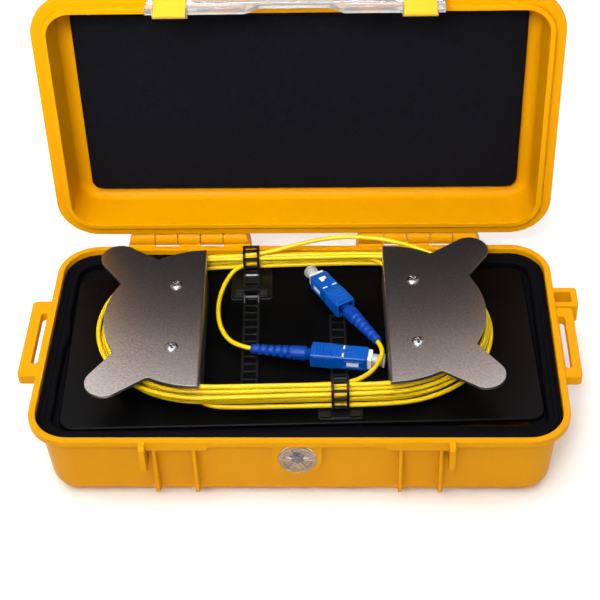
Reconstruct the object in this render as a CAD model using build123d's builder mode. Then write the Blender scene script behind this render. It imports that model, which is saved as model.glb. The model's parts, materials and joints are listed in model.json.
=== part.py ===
from build123d import *
import os
from math import atan, cos, degrees, radians, sin, tan

# A launch-lead box: a hinged plastic case holding a fibre reel, with two leads wound on two
# winding brackets above a deck plate. Millimetres and degrees. +Z is up, the underside of the
# base stands on Z = 0 and X runs along the case. The lid is drawn open.

# ---- Case ----
case_width = 224.0
case_depth = 123.0
case_corner = 18.0
base_height = 41.0
lid_height = 22.0
lid_opening = 92.0
wall = 2.8
floor_wall = 3.0
flange = 3.0
flange_reach = 4.0
draft = 4.5
base_edge = 10.0
lid_edge = 7.5
rim_land = 2.8
groove_depth = 3.5
tongue_inset = 4.5
tongue_drop = 2.0
gap = 0.3
slip = 0.1

# ---- Hinges ----
hinge_setback = 3.8
hinge_rise = 2.4
knuckle_radius = 3.6
knuckle_count = 5
hinge_centre = 53.0
hinge_length = 52.8
hinge_pin_radius = 1.25
pin_clearance = 0.05
knuckle_gap = 0.3
hinge_flare = 3.0

# ---- Front: catch ledges, ribs, guard lugs ----
catch_centre = 50.5
ledge_length = 28.0
ledge_drop = 2.0
rib_pitch = 16.5
rib_thickness = 1.5
rib_foot = 34.0
rib_slope = 3.0
rib_inset = 0.5
lug_thickness = 2.5
lug_reach = 4.0
lug_drop = 15.5

# ---- Latch ----
latch_width = 121.0
latch_pivot_height = 10.5
latch_pivot_inset = 0.3
latch_pin_radius = 1.25
latch_pin_length = 22.0
latch_knuckle_radius = 2.6
latch_boss_centre = 30.0
latch_boss_width = 11.0
latch_plate = 1.8
latch_bar = 3.0
latch_arm_drop = 16.0
latch_middle_drop = 11.5
latch_middle_half = 14.5
latch_slant = 5.5
latch_standoff = 0.6
catch_width = 13.2
catch_pin_radius = 1.0
catch_pin_length = 19.0
catch_pin_drop = 9.8
catch_tab_drop = 18.5
catch_bite = 1.1
catch_pin_standoff = 2.5
catch_side_gap = 0.2
cheek = 2.2
catch_swing = 25.0
bridge_reach = 1.7
bridge_wall = 1.2
bridge_height = 4.5
bridge_side = 0.45

# ---- Side loops ----
left_loop_reach = 8.2
left_loop_length = 47.4
left_loop_centre = 0.5
left_loop_bar = 4.8
right_loop_reach = 7.2
right_loop_length = 43.0
right_loop_centre = -2.7
right_loop_bar = 3.8
loop_window = 32.0
loop_window_width = 2.8
loop_height = 4.4
loop_drop = 0.4
lug_window = 6.6
lug_window_width = 7.4
lug_bar = 2.8
lug_centre = 26.0
lug_height = 9.0

# ---- Pressure valve ----
valve_drop = 11.5
valve_radius = 7.9
valve_boss_radius = 10.2
valve_face = 1.4
valve_seat_depth = 2.0
valve_stem_radius = 3.0
valve_stem_length = 8.6
valve_nut_across = 10.0
valve_nut_height = 2.4
valve_seal_height = 1.2
valve_pocket = 5.0

# ---- Liner, deck and lid pad ----
liner_rim = 1.2
liner_skirt = 1.6
liner_skirt_drop = 9.0
liner_shelf = 2.5
liner_shelf_width = 9.0
deck_width = 202.0
deck_depth = 94.0
deck_corner = 6.0
deck_thickness = 2.0
deck_drop = 4.5
deck_shift_x = -2.2
deck_shift_y = 2.3
deck_turn = 1.7
pad_width = 196.0
pad_depth = 95.0
pad_corner = 5.0
pad_thickness = 3.5

# ---- Winding brackets and cores ----
bracket_offset = 39.25
bracket_radius = 42.8
bracket_top = 17.0
bracket_sheet = 1.5
bracket_leg = 69.0
ear_spread = 14.7
ear_distance = 55.4
ear_radius = 8.2
ear_notch = 1.5
core_radius = 36.0
core_wall = 2.5
core_floor = 2.0
core_boss_radius = 4.0
core_mouth = 9.0
screw_offset = 12.6
screw_spacing = 39.0
screw_radius = 1.5
screw_length = 12.0
screw_head_radius = 2.9
screw_head_height = 1.7

# ---- Leads, their windings and anchors ----
lead_radius = 1.0
coil_radius = 42.5
coil_shift = 2.5
coil_band = 6.4
coil_floor = 2.5
coil_height = 5.4
coil_gap = 0.2
anchor_width = 6.5
anchor_length = 12.0
anchor_height = 6.5
anchor_axis = 4.0
anchor_back = 4.0

# ---- Ladder straps ----
strap_width = 7.4
strap_thickness = 1.1
strap_pitch = 4.6
strap_slot_width = 5.0
strap_slot = 2.7
strap_buckle = 3.2
rear_strap_x = -19.7
rear_tail_reach = 28.3
front_strap_x = 18.6
front_tail_reach = 15.0
strap_base_width = 18.0
strap_base_depth = 19.0
rear_base_y = 37.0
front_base_y = -37.8
strap_base = 1.2
strap_pad = 0.8
strap_bed = 2.2

# ---- Connectors ----
grip_length = 24.5
grip_width = 8.9
grip_height = 7.3
grip_corner = 0.9
grip_travel = 1.5
plug_width = 6.8
plug_height = 5.4
plug_nose = 1.7
slide_fit = 0.15
ferrule_radius = 1.25
ferrule_length = 10.5
body_inset = 6.0
cap_radius = 2.6
cap_length = 5.6
cap_head_radius = 3.1
boot_radius = 3.2
boot_tip_radius = 1.9
boot_length = 24.0
boot_neck = 2.2
boot_neck_radius = 2.6
boot_grooves = 6
boot_groove = 1.0
plug_a_x, plug_a_y, plug_a_rise = 6.8, -13.5, 5.1
plug_a_heading, plug_a_tilt = -9.2, 0.0
plug_b_x, plug_b_y, plug_b_rise = 22.5, 12.4, 7.4
plug_b_heading, plug_b_tilt = 119.8, -2.8

# ---- Reel under the deck ----
reel_clearance = 0.2
reel_flange = 2.0
reel_height = 23.0
reel_hub_radius = 30.0
reel_hub_wall = 3.0
fibre_radius = 42.0
cradle_width = 44.0
cradle_depth = 86.0

# ---- Worked-out sizes ----
rim_z = base_height
wall_width = case_width - 2 * flange_reach
wall_depth = case_depth - 2 * flange_reach
wall_corner = case_corner - flange_reach
inside_width = wall_width - 2 * wall
inside_depth = wall_depth - 2 * wall
inside_corner = wall_corner - wall
front_y = -case_depth / 2
deck_z = rim_z - deck_drop
inside_height = rim_z - groove_depth - floor_wall
reel_radius = (
    inside_depth / 2 - inside_height * tan(radians(draft)) - (base_edge - wall) - reel_clearance
)
hinge_y = case_depth / 2 + hinge_setback
hinge_z = rim_z + hinge_rise
hinge_axis = Axis((0, hinge_y, hinge_z), (-1, 0, 0))
ribs = [side * (catch_centre + end * rib_pitch / 2) for side in (-1, 1) for end in (-1, 1)]
deck = Plane(
    origin=(deck_shift_x, deck_shift_y, deck_z),
    x_dir=(cos(radians(deck_turn)), sin(radians(deck_turn)), 0),
    z_dir=(0, 0, 1),
)


def front_wall(z):
    """Y of the drafted front wall's outer face at a height."""
    return -wall_depth / 2 + (rim_z - flange - z) * tan(radians(draft))


def side_plane(x):
    """Plane across the case at an X: its own X runs along +Y and its own Y runs up."""
    return Plane(origin=(x, 0, 0), x_dir=(0, 1, 0), z_dir=(1, 0, 0))


def deck_side(x):
    """Plane across the deck at a deck X: its own X runs along the deck's Y, its own Y runs up."""
    return Plane(origin=deck.from_local_coords(Vector(x, 0, 0)), x_dir=deck.y_dir, z_dir=deck.x_dir)


def drafted_block(width, depth, corner, height, edge):
    """A block hanging below Z = 0, drafted inwards to a rounded lower edge."""
    with BuildPart() as block:
        with BuildSketch():
            RectangleRounded(width, depth, corner)
        extrude(amount=-height, taper=draft)
        fillet(block.faces().sort_by(Axis.Z)[0].edges(), edge)
    return block.part


def save(piece, name):
    piece.part.label = name
    export_step(piece.part, f"parts/{name}.step")


def save_on_lid(piece, name):
    """Turn a piece that was drawn on the closed lid about the hinge, and write it."""
    piece.part = Part(piece.part.rotate(hinge_axis, lid_opening).wrapped)
    save(piece, name)


os.makedirs("parts", exist_ok=True)


# ---- Base shell ----
base_outside = drafted_block(
    wall_width, wall_depth, wall_corner, base_height - flange, base_edge
).moved(Location((0, 0, rim_z - flange)))
base_inside = drafted_block(
    inside_width, inside_depth, inside_corner,
    inside_height, base_edge - wall,
).moved(Location((0, 0, rim_z - groove_depth)))
knuckle_length = hinge_length / knuckle_count
valve_z = rim_z - valve_drop
valve_face_y = front_y + valve_face


def knuckles(first, thickness_up, thickness_down):
    """Every second knuckle of both hinges from the one given, with webs to the rim flange."""
    with BuildPart() as rolls:
        for side in (-1, 1):
            for roll in range(first, knuckle_count, 2):
                start = side * hinge_centre - hinge_length / 2 + roll * knuckle_length
                with BuildSketch(side_plane(start + knuckle_gap / 2)):
                    with Locations((hinge_y, hinge_z)):
                        Circle(knuckle_radius)
                    with BuildLine():
                        Polyline(
                            (case_depth / 2 - rim_land + 0.6, rim_z - thickness_down),
                            (case_depth / 2, rim_z - thickness_down),
                            (hinge_y, hinge_z - (knuckle_radius if thickness_down else 0)),
                            (hinge_y, hinge_z + (knuckle_radius if thickness_up else 0)),
                            (case_depth / 2, rim_z + thickness_up),
                            (case_depth / 2 - rim_land + 0.6, rim_z + thickness_up),
                            close=True,
                        )
                    make_face()
                    with Locations((hinge_y, hinge_z)):
                        Circle(hinge_pin_radius + pin_clearance, mode=Mode.SUBTRACT)
                extrude(amount=knuckle_length - knuckle_gap)
    return rolls.part


def hinge_flares():
    """Sloping outer ends of the base's hinge webs, widest at the rim."""
    flares = []
    for side in (-1, 1):
        for end in (-1, 1):
            foot = side * hinge_centre + end * (hinge_length - knuckle_gap) / 2
            with BuildPart() as flare:
                with BuildSketch(side_plane(foot)):
                    with Locations((hinge_y, hinge_z)):
                        Circle(knuckle_radius)
                    Polygon(
                        (case_depth / 2 - rim_land + 2 * gap, rim_z - flange),
                        (case_depth / 2, rim_z - flange),
                        (hinge_y, hinge_z - knuckle_radius),
                        (hinge_y, hinge_z),
                        (case_depth / 2, rim_z),
                        (case_depth / 2 - rim_land + 2 * gap, rim_z),
                        align=None,
                    )
                extrude(amount=end * hinge_flare)
                with BuildSketch(Plane.XZ.offset(-hinge_y - 2 * knuckle_radius)):
                    Polygon(
                        (foot, hinge_z + knuckle_radius),
                        (foot + end * hinge_flare, rim_z - flange),
                        (foot + end * 2 * hinge_flare, rim_z - flange),
                        (foot + end * 2 * hinge_flare, hinge_z + 2 * knuckle_radius),
                        (foot, hinge_z + 2 * knuckle_radius),
                        align=None,
                    )
                extrude(amount=4 * knuckle_radius + hinge_setback + rim_land, mode=Mode.SUBTRACT)
                with BuildSketch(side_plane(foot)):
                    with Locations((hinge_y, hinge_z)):
                        Circle(hinge_pin_radius + pin_clearance)
                extrude(amount=end * knuckle_gap, mode=Mode.SUBTRACT)
            flares.append(flare.part)
    return flares


base_knuckles = knuckles(0, 0, flange)
with BuildPart() as base_shell:
    add(base_outside)
    with BuildSketch(Plane.XY.offset(rim_z - 2 * flange)):
        RectangleRounded(wall_width, wall_depth, wall_corner)
    extrude(amount=flange, taper=-45)
    with BuildSketch(Plane.XY.offset(rim_z - flange)):
        RectangleRounded(case_width, case_depth, case_corner)
    extrude(amount=flange)
    # Ledges that the catches bite under, and the ribs that guide them.
    with BuildSketch(Plane.XY.offset(rim_z - flange - ledge_drop)):
        for side in (-1, 1):
            with Locations((side * catch_centre, front_y + 2 * flange_reach / 2)):
                Rectangle(ledge_length, 2 * flange_reach)
    extrude(amount=ledge_drop + flange / 2)
    for x in ribs:
        with BuildSketch(side_plane(x - rib_thickness / 2)):
            with BuildLine():
                Polyline(
                    (front_y + rib_inset, rim_z - flange),
                    (front_y + rib_inset, rim_z - rib_foot + rib_slope),
                    (front_wall(rim_z - rib_foot), rim_z - rib_foot),
                    (front_wall(rim_z - rib_foot) + wall / 2, rim_z - rib_foot),
                    (front_wall(rim_z - flange) + wall / 2, rim_z - flange),
                    close=True,
                )
            make_face()
        extrude(amount=rib_thickness)
    # Guard lugs beside the latch.
    for side in (-1, 1):
        inner = latch_width / 2 + 4 * gap
        with BuildSketch(side_plane(inner if side > 0 else -inner - lug_thickness)):
            with BuildLine():
                Polyline(
                    (front_y + flange / 2, rim_z),
                    (front_y - lug_reach + 1.2, rim_z),
                    (front_y - lug_reach, rim_z - 1.2),
                    (front_y - lug_reach, rim_z - lug_drop + 3),
                    (front_y - lug_reach + 3, rim_z - lug_drop),
                    (front_wall(rim_z - lug_drop) + wall / 2, rim_z - lug_drop),
                    (front_wall(rim_z - flange) + wall / 2, rim_z - flange),
                    close=True,
                )
            make_face()
        extrude(amount=lug_thickness)
    # Boss of the pressure valve, round below and running up under the flange.
    with BuildSketch(Plane(origin=(0, valve_face_y, 0), x_dir=(1, 0, 0), z_dir=(0, -1, 0))):
        with Locations((0, valve_z)):
            Circle(valve_boss_radius)
        with Locations((0, (valve_z + rim_z - flange / 2) / 2)):
            Rectangle(2 * valve_boss_radius, rim_z - flange / 2 - valve_z)
    extrude(amount=-(front_wall(valve_z - valve_boss_radius) + wall / 2 - valve_face_y))
    # Left and right carrying loops, and the strap lug behind the right one.
    for side, reach, length, middle, bar in (
        (-1, left_loop_reach, left_loop_length, left_loop_centre, left_loop_bar),
        (1, right_loop_reach, right_loop_length, right_loop_centre, right_loop_bar),
    ):
        with BuildSketch(Plane.XY.offset(rim_z - loop_drop)):
            with Locations((side * (case_width / 2 + reach / 2 - flange), middle)):
                RectangleRounded(reach + 2 * flange, length, 2.0)
            with Locations((side * (case_width / 2 + reach - bar - loop_window_width / 2), middle)):
                SlotOverall(loop_window, loop_window_width, rotation=90, mode=Mode.SUBTRACT)
        extrude(amount=-loop_height)
    with BuildSketch(Plane.XY.offset(rim_z - loop_drop)):
        with Locations((case_width / 2 + lug_window_width / 2, lug_centre)):
            RectangleRounded(lug_window_width + 2 * lug_bar, lug_window + 2 * lug_bar, 1.5)
            RectangleRounded(lug_window_width, lug_window, 0.8, mode=Mode.SUBTRACT)
    extrude(amount=-lug_height)
    add(base_knuckles)
    add(hinge_flares())
    add(base_inside, mode=Mode.SUBTRACT)
    with BuildSketch(Plane.XY.offset(rim_z - groove_depth)):
        RectangleRounded(
            case_width - 2 * rim_land, case_depth - 2 * rim_land, case_corner - rim_land
        )
    extrude(amount=groove_depth + gap, mode=Mode.SUBTRACT)
    # Seat and bore of the pressure valve.
    with BuildSketch(Plane(origin=(0, valve_face_y, 0), x_dir=(1, 0, 0), z_dir=(0, -1, 0))):
        with Locations((0, valve_z)):
            Circle(valve_radius + slip)
    extrude(amount=-valve_seat_depth, mode=Mode.SUBTRACT)
    with BuildSketch(Plane(origin=(0, valve_face_y, 0), x_dir=(1, 0, 0), z_dir=(0, -1, 0))):
        with Locations((0, valve_z)):
            Circle(valve_stem_radius + slip)
    extrude(amount=-valve_stem_length, mode=Mode.SUBTRACT)
save(base_shell, "base_shell")


# ---- Hinge pins ----
for side, name in ((-1, "hinge_pin_left"), (1, "hinge_pin_right")):
    with BuildPart() as hinge_pin:
        with BuildSketch(side_plane(side * hinge_centre - hinge_length / 2)):
            with Locations((hinge_y, hinge_z)):
                Circle(hinge_pin_radius)
        extrude(amount=hinge_length)
        chamfer(hinge_pin.edges().filter_by(GeomType.CIRCLE), 0.3)
    save(hinge_pin, name)


# ---- Pressure valve ----
valve_front = Plane(origin=(0, valve_face_y, valve_z), x_dir=(1, 0, 0), z_dir=(0, -1, 0))
valve_floor = valve_front.offset(-valve_seat_depth)
valve_inside = -inside_depth / 2 + (rim_z - groove_depth - valve_z) * tan(radians(draft))
nut_y = valve_inside + valve_nut_across / 2 * tan(radians(draft)) + slip / 2
nut_plane = Plane(origin=(0, nut_y, valve_z), x_dir=(1, 0, 0), z_dir=(0, 1, 0))
with BuildPart() as valve_cap:
    with BuildSketch(valve_floor.offset(0.2)):
        Circle(valve_radius)
    extrude(amount=valve_seat_depth + 0.6)
    fillet(valve_cap.faces().sort_by(Axis.Y)[0].edges(), 0.5)
    with BuildSketch(valve_floor.offset(valve_seat_depth + 0.8)):
        Circle(valve_radius - 1.6)
        for arm in range(6):
            with Locations(Location((0, 0, 0), (0, 0, 60 * arm))):
                with Locations(((valve_radius - 1.6) / 2, 0)):
                    Rectangle(valve_radius - 1.6, 1.4, mode=Mode.SUBTRACT)
        Circle(2.0, mode=Mode.SUBTRACT)
    extrude(amount=-1.1, mode=Mode.SUBTRACT)
    with BuildSketch(valve_floor.offset(0.2)):
        Circle(valve_stem_radius)
    extrude(amount=-valve_stem_length)
    with BuildSketch(valve_floor.offset(0.2)):
        with PolarLocations(valve_stem_radius - 1.2, 3):
            Circle(0.5)
    extrude(amount=-valve_stem_length, mode=Mode.SUBTRACT)
save(valve_cap, "valve_cap")

with BuildPart() as valve_seal:
    with BuildSketch(nut_plane):
        Circle(valve_nut_across / 2)
        Circle(valve_stem_radius + slip, mode=Mode.SUBTRACT)
    extrude(amount=valve_seal_height)
save(valve_seal, "valve_seal")

with BuildPart() as valve_nut:
    with BuildSketch(nut_plane.offset(valve_seal_height)):
        RegularPolygon(valve_nut_across / 2, 6, major_radius=False)
        Circle(valve_stem_radius + pin_clearance, mode=Mode.SUBTRACT)
    extrude(amount=valve_nut_height)
save(valve_nut, "valve_nut")


# ---- Rubber liner: a sealing rim in the groove, a skirt and the shelf that carries the deck ----
skirt_width = inside_width - 2 * liner_skirt_drop * tan(radians(draft)) - 2 * slip
skirt_depth = inside_depth - 2 * liner_skirt_drop * tan(radians(draft)) - 2 * slip
skirt_inner_corner = inside_corner - liner_skirt
shelf_top = deck_z - deck_thickness
with BuildPart() as base_liner:
    with BuildSketch(Plane.XY.offset(rim_z - groove_depth)):
        RectangleRounded(
            case_width - 2 * rim_land - 2 * slip,
            case_depth - 2 * rim_land - 2 * slip,
            case_corner - rim_land - slip,
        )
        RectangleRounded(
            skirt_width - 2 * liner_skirt,
            skirt_depth - 2 * liner_skirt,
            skirt_inner_corner,
            mode=Mode.SUBTRACT,
        )
    extrude(amount=liner_rim)
    fillet(base_liner.faces().sort_by(Axis.Z)[-1].edges(), 0.4)
    with BuildSketch(Plane.XY.offset(rim_z - groove_depth - liner_skirt_drop)):
        RectangleRounded(skirt_width, skirt_depth, inside_corner)
        RectangleRounded(
            skirt_width - 2 * liner_skirt,
            skirt_depth - 2 * liner_skirt,
            skirt_inner_corner,
            mode=Mode.SUBTRACT,
        )
    extrude(amount=liner_skirt_drop)
    with BuildSketch(Plane.XY.offset(shelf_top)):
        RectangleRounded(skirt_width, skirt_depth, inside_corner)
        RectangleRounded(
            deck_width - 2 * liner_shelf_width,
            deck_depth - 2 * liner_shelf_width,
            deck_corner,
            mode=Mode.SUBTRACT,
        )
    extrude(amount=-liner_shelf)
    # Pocket for the valve's seal and nut.
    with BuildSketch(Plane.XY.offset(rim_z - groove_depth - liner_skirt_drop)):
        with Locations((0, -skirt_depth / 2)):
            Rectangle(valve_nut_across + 4, 2 * (nut_y + skirt_depth / 2 + valve_pocket))
    extrude(amount=liner_skirt_drop - liner_rim, mode=Mode.SUBTRACT)
save(base_liner, "base_liner")


# ---- Deck plate, drilled for the bracket screws and the two leads ----
screw_spots = [
    (side * (bracket_offset + screw_offset), end * screw_spacing / 2)
    for side in (-1, 1)
    for end in (-1, 1)
]
anchor_x = bracket_offset + bracket_sheet + 0.5 + anchor_width / 2
anchor_spots = [(-1, (-anchor_x, anchor_back)), (1, (anchor_x, -anchor_back))]
with BuildPart() as deck_plate:
    with BuildSketch(deck.offset(-deck_thickness)):
        with Locations((-deck_shift_x, -deck_shift_y)):
            RectangleRounded(deck_width, deck_depth, deck_corner)
        with Locations(*screw_spots):
            Circle(screw_radius + pin_clearance, mode=Mode.SUBTRACT)
        for _, spot in anchor_spots:
            with Locations(spot):
                Circle(lead_radius + 1.5, mode=Mode.SUBTRACT)
    extrude(amount=deck_thickness)
    chamfer(deck_plate.faces().sort_by(Axis.Z)[-1].outer_wire().edges(), 0.4)
save(deck_plate, "deck_plate")


# ---- Winding cores: open half-round spools under the brackets ----
for side, name in ((-1, "winding_core_left"), (1, "winding_core_right")):
    centre = side * bracket_offset
    first = centre + side * (bracket_sheet + slip)
    spots = [spot for spot in screw_spots if spot[0] * side > 0]
    lead_hole = dict(anchor_spots)[side]
    half = (first + side * core_radius, 0)
    with BuildPart() as winding_core:
        with BuildSketch(deck):
            with Locations((centre, 0)):
                Circle(core_radius)
            with Locations(half):
                Rectangle(2 * core_radius, 2 * core_radius, mode=Mode.INTERSECT)
        extrude(amount=bracket_top - bracket_sheet)
        with BuildSketch(deck.offset(core_floor)):
            with Locations((centre, 0)):
                Circle(core_radius - core_wall)
        extrude(amount=bracket_top, mode=Mode.SUBTRACT)
        with BuildSketch(deck.offset(core_floor)):
            with Locations((first, side * core_radius)):
                Rectangle(2 * core_mouth, 2 * core_mouth)
        extrude(amount=bracket_top, mode=Mode.SUBTRACT)
        with BuildSketch(deck):
            with Locations(*spots):
                Circle(core_boss_radius)
        extrude(amount=bracket_top - bracket_sheet)
        with BuildSketch(deck):
            with Locations(*spots):
                Circle(screw_radius + pin_clearance)
            with Locations(lead_hole):
                Circle(lead_radius + 1.5)
        extrude(amount=bracket_top, mode=Mode.SUBTRACT)
    save(winding_core, name)


# ---- Winding brackets: a half-disc with two ears, its straight edge bent down to the deck ----
ear_root = bracket_radius * sin(radians(ear_spread))
ear_foot = bracket_radius * cos(radians(ear_spread))
ear_run = ear_distance - ear_foot
ear_taper = degrees(atan(ear_root / ear_run)) - degrees(
    atan(ear_radius / (ear_run**2 + ear_root**2 - ear_radius**2) ** 0.5)
)
ear_touch_x = ear_distance + ear_radius * sin(radians(ear_taper))
ear_touch_y = ear_radius * cos(radians(ear_taper))
for side, name in ((-1, "winding_bracket_left"), (1, "winding_bracket_right")):
    centre = side * bracket_offset
    spots = [spot for spot in screw_spots if spot[0] * side > 0]
    with BuildPart() as bracket:
        with BuildSketch(deck.offset(bracket_top - bracket_sheet)) as outline:
            with Locations((centre, 0)):
                Circle(bracket_radius)
            with Locations((centre + side * bracket_radius, 0)):
                Rectangle(2 * bracket_radius, 2 * bracket_radius, mode=Mode.INTERSECT)
            for turn in (45, -45):
                heading = turn if side > 0 else 180 - turn
                with Locations(Location((centre, 0, 0), (0, 0, heading))):
                    Polygon(
                        (0, ear_root), (ear_foot, ear_root), (ear_touch_x, ear_touch_y),
                        (ear_touch_x, -ear_touch_y), (ear_foot, -ear_root), (0, -ear_root),
                        align=None,
                    )
                    with Locations((ear_distance, 0)):
                        Circle(ear_radius)
            with Locations((centre - side * bracket_radius, 0)):
                Rectangle(2 * bracket_radius, 4 * bracket_radius, mode=Mode.SUBTRACT)
            notches = [
                corner
                for corner in outline.vertices()
                if abs(side * (corner.X - centre)) > 5
                and abs(Vector(corner.X - centre, corner.Y, 0).length - bracket_radius) < 0.5
            ]
            fillet(notches, ear_notch)
            with Locations(*spots):
                Circle(screw_radius + 0.2, mode=Mode.SUBTRACT)
        extrude(amount=bracket_sheet)
        with BuildSketch(deck):
            with Locations((centre + side * bracket_sheet / 2, 0)):
                Rectangle(bracket_sheet, bracket_leg)
        extrude(amount=bracket_top)
        bend = [
            edge
            for edge in bracket.edges().filter_by(lambda e: e.length > bracket_leg)
            if abs(deck.to_local_coords(edge.center()).X - centre) < 0.1
            and edge.center().Z > deck_z + bracket_top - 0.1
        ]
        fillet(bend, bracket_sheet * 0.8)
    save(bracket, name)

with BuildPart() as bracket_screws:
    with BuildSketch(deck.offset(bracket_top)):
        with Locations(*screw_spots):
            Circle(screw_head_radius)
    extrude(amount=screw_head_height)
    fillet(bracket_screws.faces().sort_by(Axis.Z)[-4:].edges(), 0.9)
    with BuildSketch(deck.offset(bracket_top)):
        with Locations(*screw_spots):
            Circle(screw_radius)
    extrude(amount=-screw_length)
    with BuildSketch(deck.offset(bracket_top + screw_head_height)):
        for index, spot in enumerate(screw_spots):
            with Locations(Location((*spot, 0), (0, 0, 20 + 35 * index))):
                Rectangle(3.2, 0.75)
                Rectangle(0.75, 3.2)
    extrude(amount=-1.0, mode=Mode.SUBTRACT)
save(bracket_screws, "bracket_screws")


# ---- Lead anchors inside the cores ----
for (side, spot), name in zip(anchor_spots, ("lead_anchor_left", "lead_anchor_right")):
    with BuildPart() as lead_anchor:
        with BuildSketch(deck.offset(core_floor)):
            with Locations(spot):
                Rectangle(anchor_width, anchor_length)
        extrude(amount=anchor_height)
        fillet(lead_anchor.faces().sort_by(Axis.Z)[-1].edges(), 0.8)
        mouth = deck.from_local_coords(
            Vector(spot[0], spot[1] + side * anchor_length / 2, core_floor + anchor_axis)
        )
        with BuildSketch(Plane(origin=mouth, x_dir=deck.x_dir, z_dir=deck.y_dir * side)):
            Circle(lead_radius + slip)
        extrude(amount=-3 * anchor_length / 4, mode=Mode.SUBTRACT)
    save(lead_anchor, name)


# ---- Windings of the two leads, one above the other round both cores ----
for level, name in ((0, "lead_a_winding"), (1, "lead_b_winding")):
    with BuildPart() as winding:
        with BuildSketch(deck.offset(coil_floor + level * (coil_height + coil_gap))):
            with Locations((0, coil_shift)):
                SlotCenterToCenter(2 * bracket_offset, 2 * coil_radius + coil_band)
                SlotCenterToCenter(
                    2 * bracket_offset, 2 * coil_radius - coil_band, mode=Mode.SUBTRACT
                )
        extrude(amount=coil_height)
    save(winding, name)


# ---- Ladder straps round the windings, with their stick-on bases ----
coil_top = coil_floor + 2 * coil_height + coil_gap
for x, side, reach, base_y, place in (
    (rear_strap_x, 1, rear_tail_reach, rear_base_y, "rear"),
    (front_strap_x, -1, front_tail_reach, front_base_y, "front"),
):
    middle = coil_shift + side * coil_radius
    inner = middle - side * (coil_band / 2 + 0.2)
    outer = middle + side * (coil_band / 2 + 0.2)
    base_edge_y = base_y - side * strap_base_depth / 2
    flat = strap_bed - strap_thickness
    with BuildPart() as strap:
        with BuildSketch(deck_side(x - strap_width / 2)):
            with Locations((middle, (strap_bed + coil_top + 0.2) / 2)):
                RectangleRounded(
                    abs(outer - inner) + 2 * strap_thickness,
                    coil_top + 0.2 - strap_bed + 2 * strap_thickness,
                    1.6,
                )
                RectangleRounded(
                    abs(outer - inner), coil_top + 0.2 - strap_bed, 0.5, mode=Mode.SUBTRACT
                )
            with BuildLine():
                Polyline(
                    (inner, flat),
                    (base_edge_y, flat),
                    (base_edge_y - side * 3, slip / 2),
                    (-side * reach, slip / 2),
                    (-side * reach, slip / 2 + strap_thickness),
                    (base_edge_y - side * 3, slip / 2 + strap_thickness),
                    (base_edge_y, strap_bed),
                    (inner, strap_bed),
                    close=True,
                )
            make_face()
        extrude(amount=strap_width)
        corners = strap.edges().filter_by(Axis.Z).sort_by(lambda e: side * deck.to_local_coords(e.center()).Y)
        fillet(corners[:2], strap_width / 2 - 0.4)
        rungs = int((abs(base_edge_y + side * reach) - 6) / strap_pitch)
        with BuildSketch(deck):
            for rung in range(rungs):
                with Locations((x, -side * (reach - 5 - rung * strap_pitch))):
                    Rectangle(strap_slot_width, strap_slot)
        extrude(amount=strap_bed, mode=Mode.SUBTRACT)
        with BuildSketch(deck.offset(strap_bed + 0.5)):
            with Locations((x, middle)):
                Rectangle(strap_slot_width, strap_slot)
        extrude(amount=2 * coil_top, mode=Mode.SUBTRACT)
        inner_face = deck.from_local_coords(Vector(x, middle, 0))
        with BuildSketch(Plane(origin=inner_face, x_dir=deck.x_dir, z_dir=deck.y_dir * -side)):
            for rung in range(2):
                with Locations((0, -side * (5.2 + rung * strap_pitch))):
                    Rectangle(strap_slot_width, strap_slot)
        extrude(amount=coil_band, mode=Mode.SUBTRACT)
    save(strap, f"cable_strap_{place}")

    with BuildPart() as strap_mount:
        with BuildSketch(deck.offset(strap_pad)):
            with Locations((x, base_y)):
                RectangleRounded(strap_base_width, strap_base_depth, 1.5)
        extrude(amount=strap_base)
        with BuildSketch(deck.offset(strap_pad + 0.3)):
            with Locations((x, base_y)):
                Rectangle(strap_width + 2 * slip, 2 * strap_base_depth)
        extrude(amount=strap_base, mode=Mode.SUBTRACT)
        with BuildSketch(deck.offset(strap_pad)):
            with Locations((x, base_edge_y + side * 4)):
                Rectangle(strap_base_width - 4, 3.0)
                Rectangle(strap_width + 2 * slip, 4.0, mode=Mode.SUBTRACT)
        extrude(amount=strap_bed + 1.6 - strap_pad)
        with BuildSketch(deck.offset(strap_bed + slip)):
            with Locations((x, base_edge_y + side * 4)):
                Rectangle(strap_base_width - 4, 3.0)
        extrude(amount=1.6 - slip)
    save(strap_mount, f"strap_base_{place}")

    with BuildPart() as strap_adhesive:
        with BuildSketch(deck):
            with Locations((x, base_y)):
                RectangleRounded(strap_base_width + 0.4, strap_base_depth + 0.4, 1.5)
        extrude(amount=strap_pad)
    save(strap_adhesive, f"strap_pad_{place}")


# ---- Push-pull connectors ----
def plug_plane(x, y, rise, heading, tilt):
    """Plane across a connector at the rear of its grip: +Z points to the ferrule."""
    level = cos(radians(tilt))
    forward = (
        deck.x_dir * (cos(radians(heading)) * level)
        + deck.y_dir * (sin(radians(heading)) * level)
        + deck.z_dir * sin(radians(tilt))
    )
    sideways = deck.y_dir * cos(radians(heading)) - deck.x_dir * sin(radians(heading))
    return Plane(origin=deck.from_local_coords(Vector(x, y, rise)), x_dir=sideways, z_dir=forward)


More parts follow.
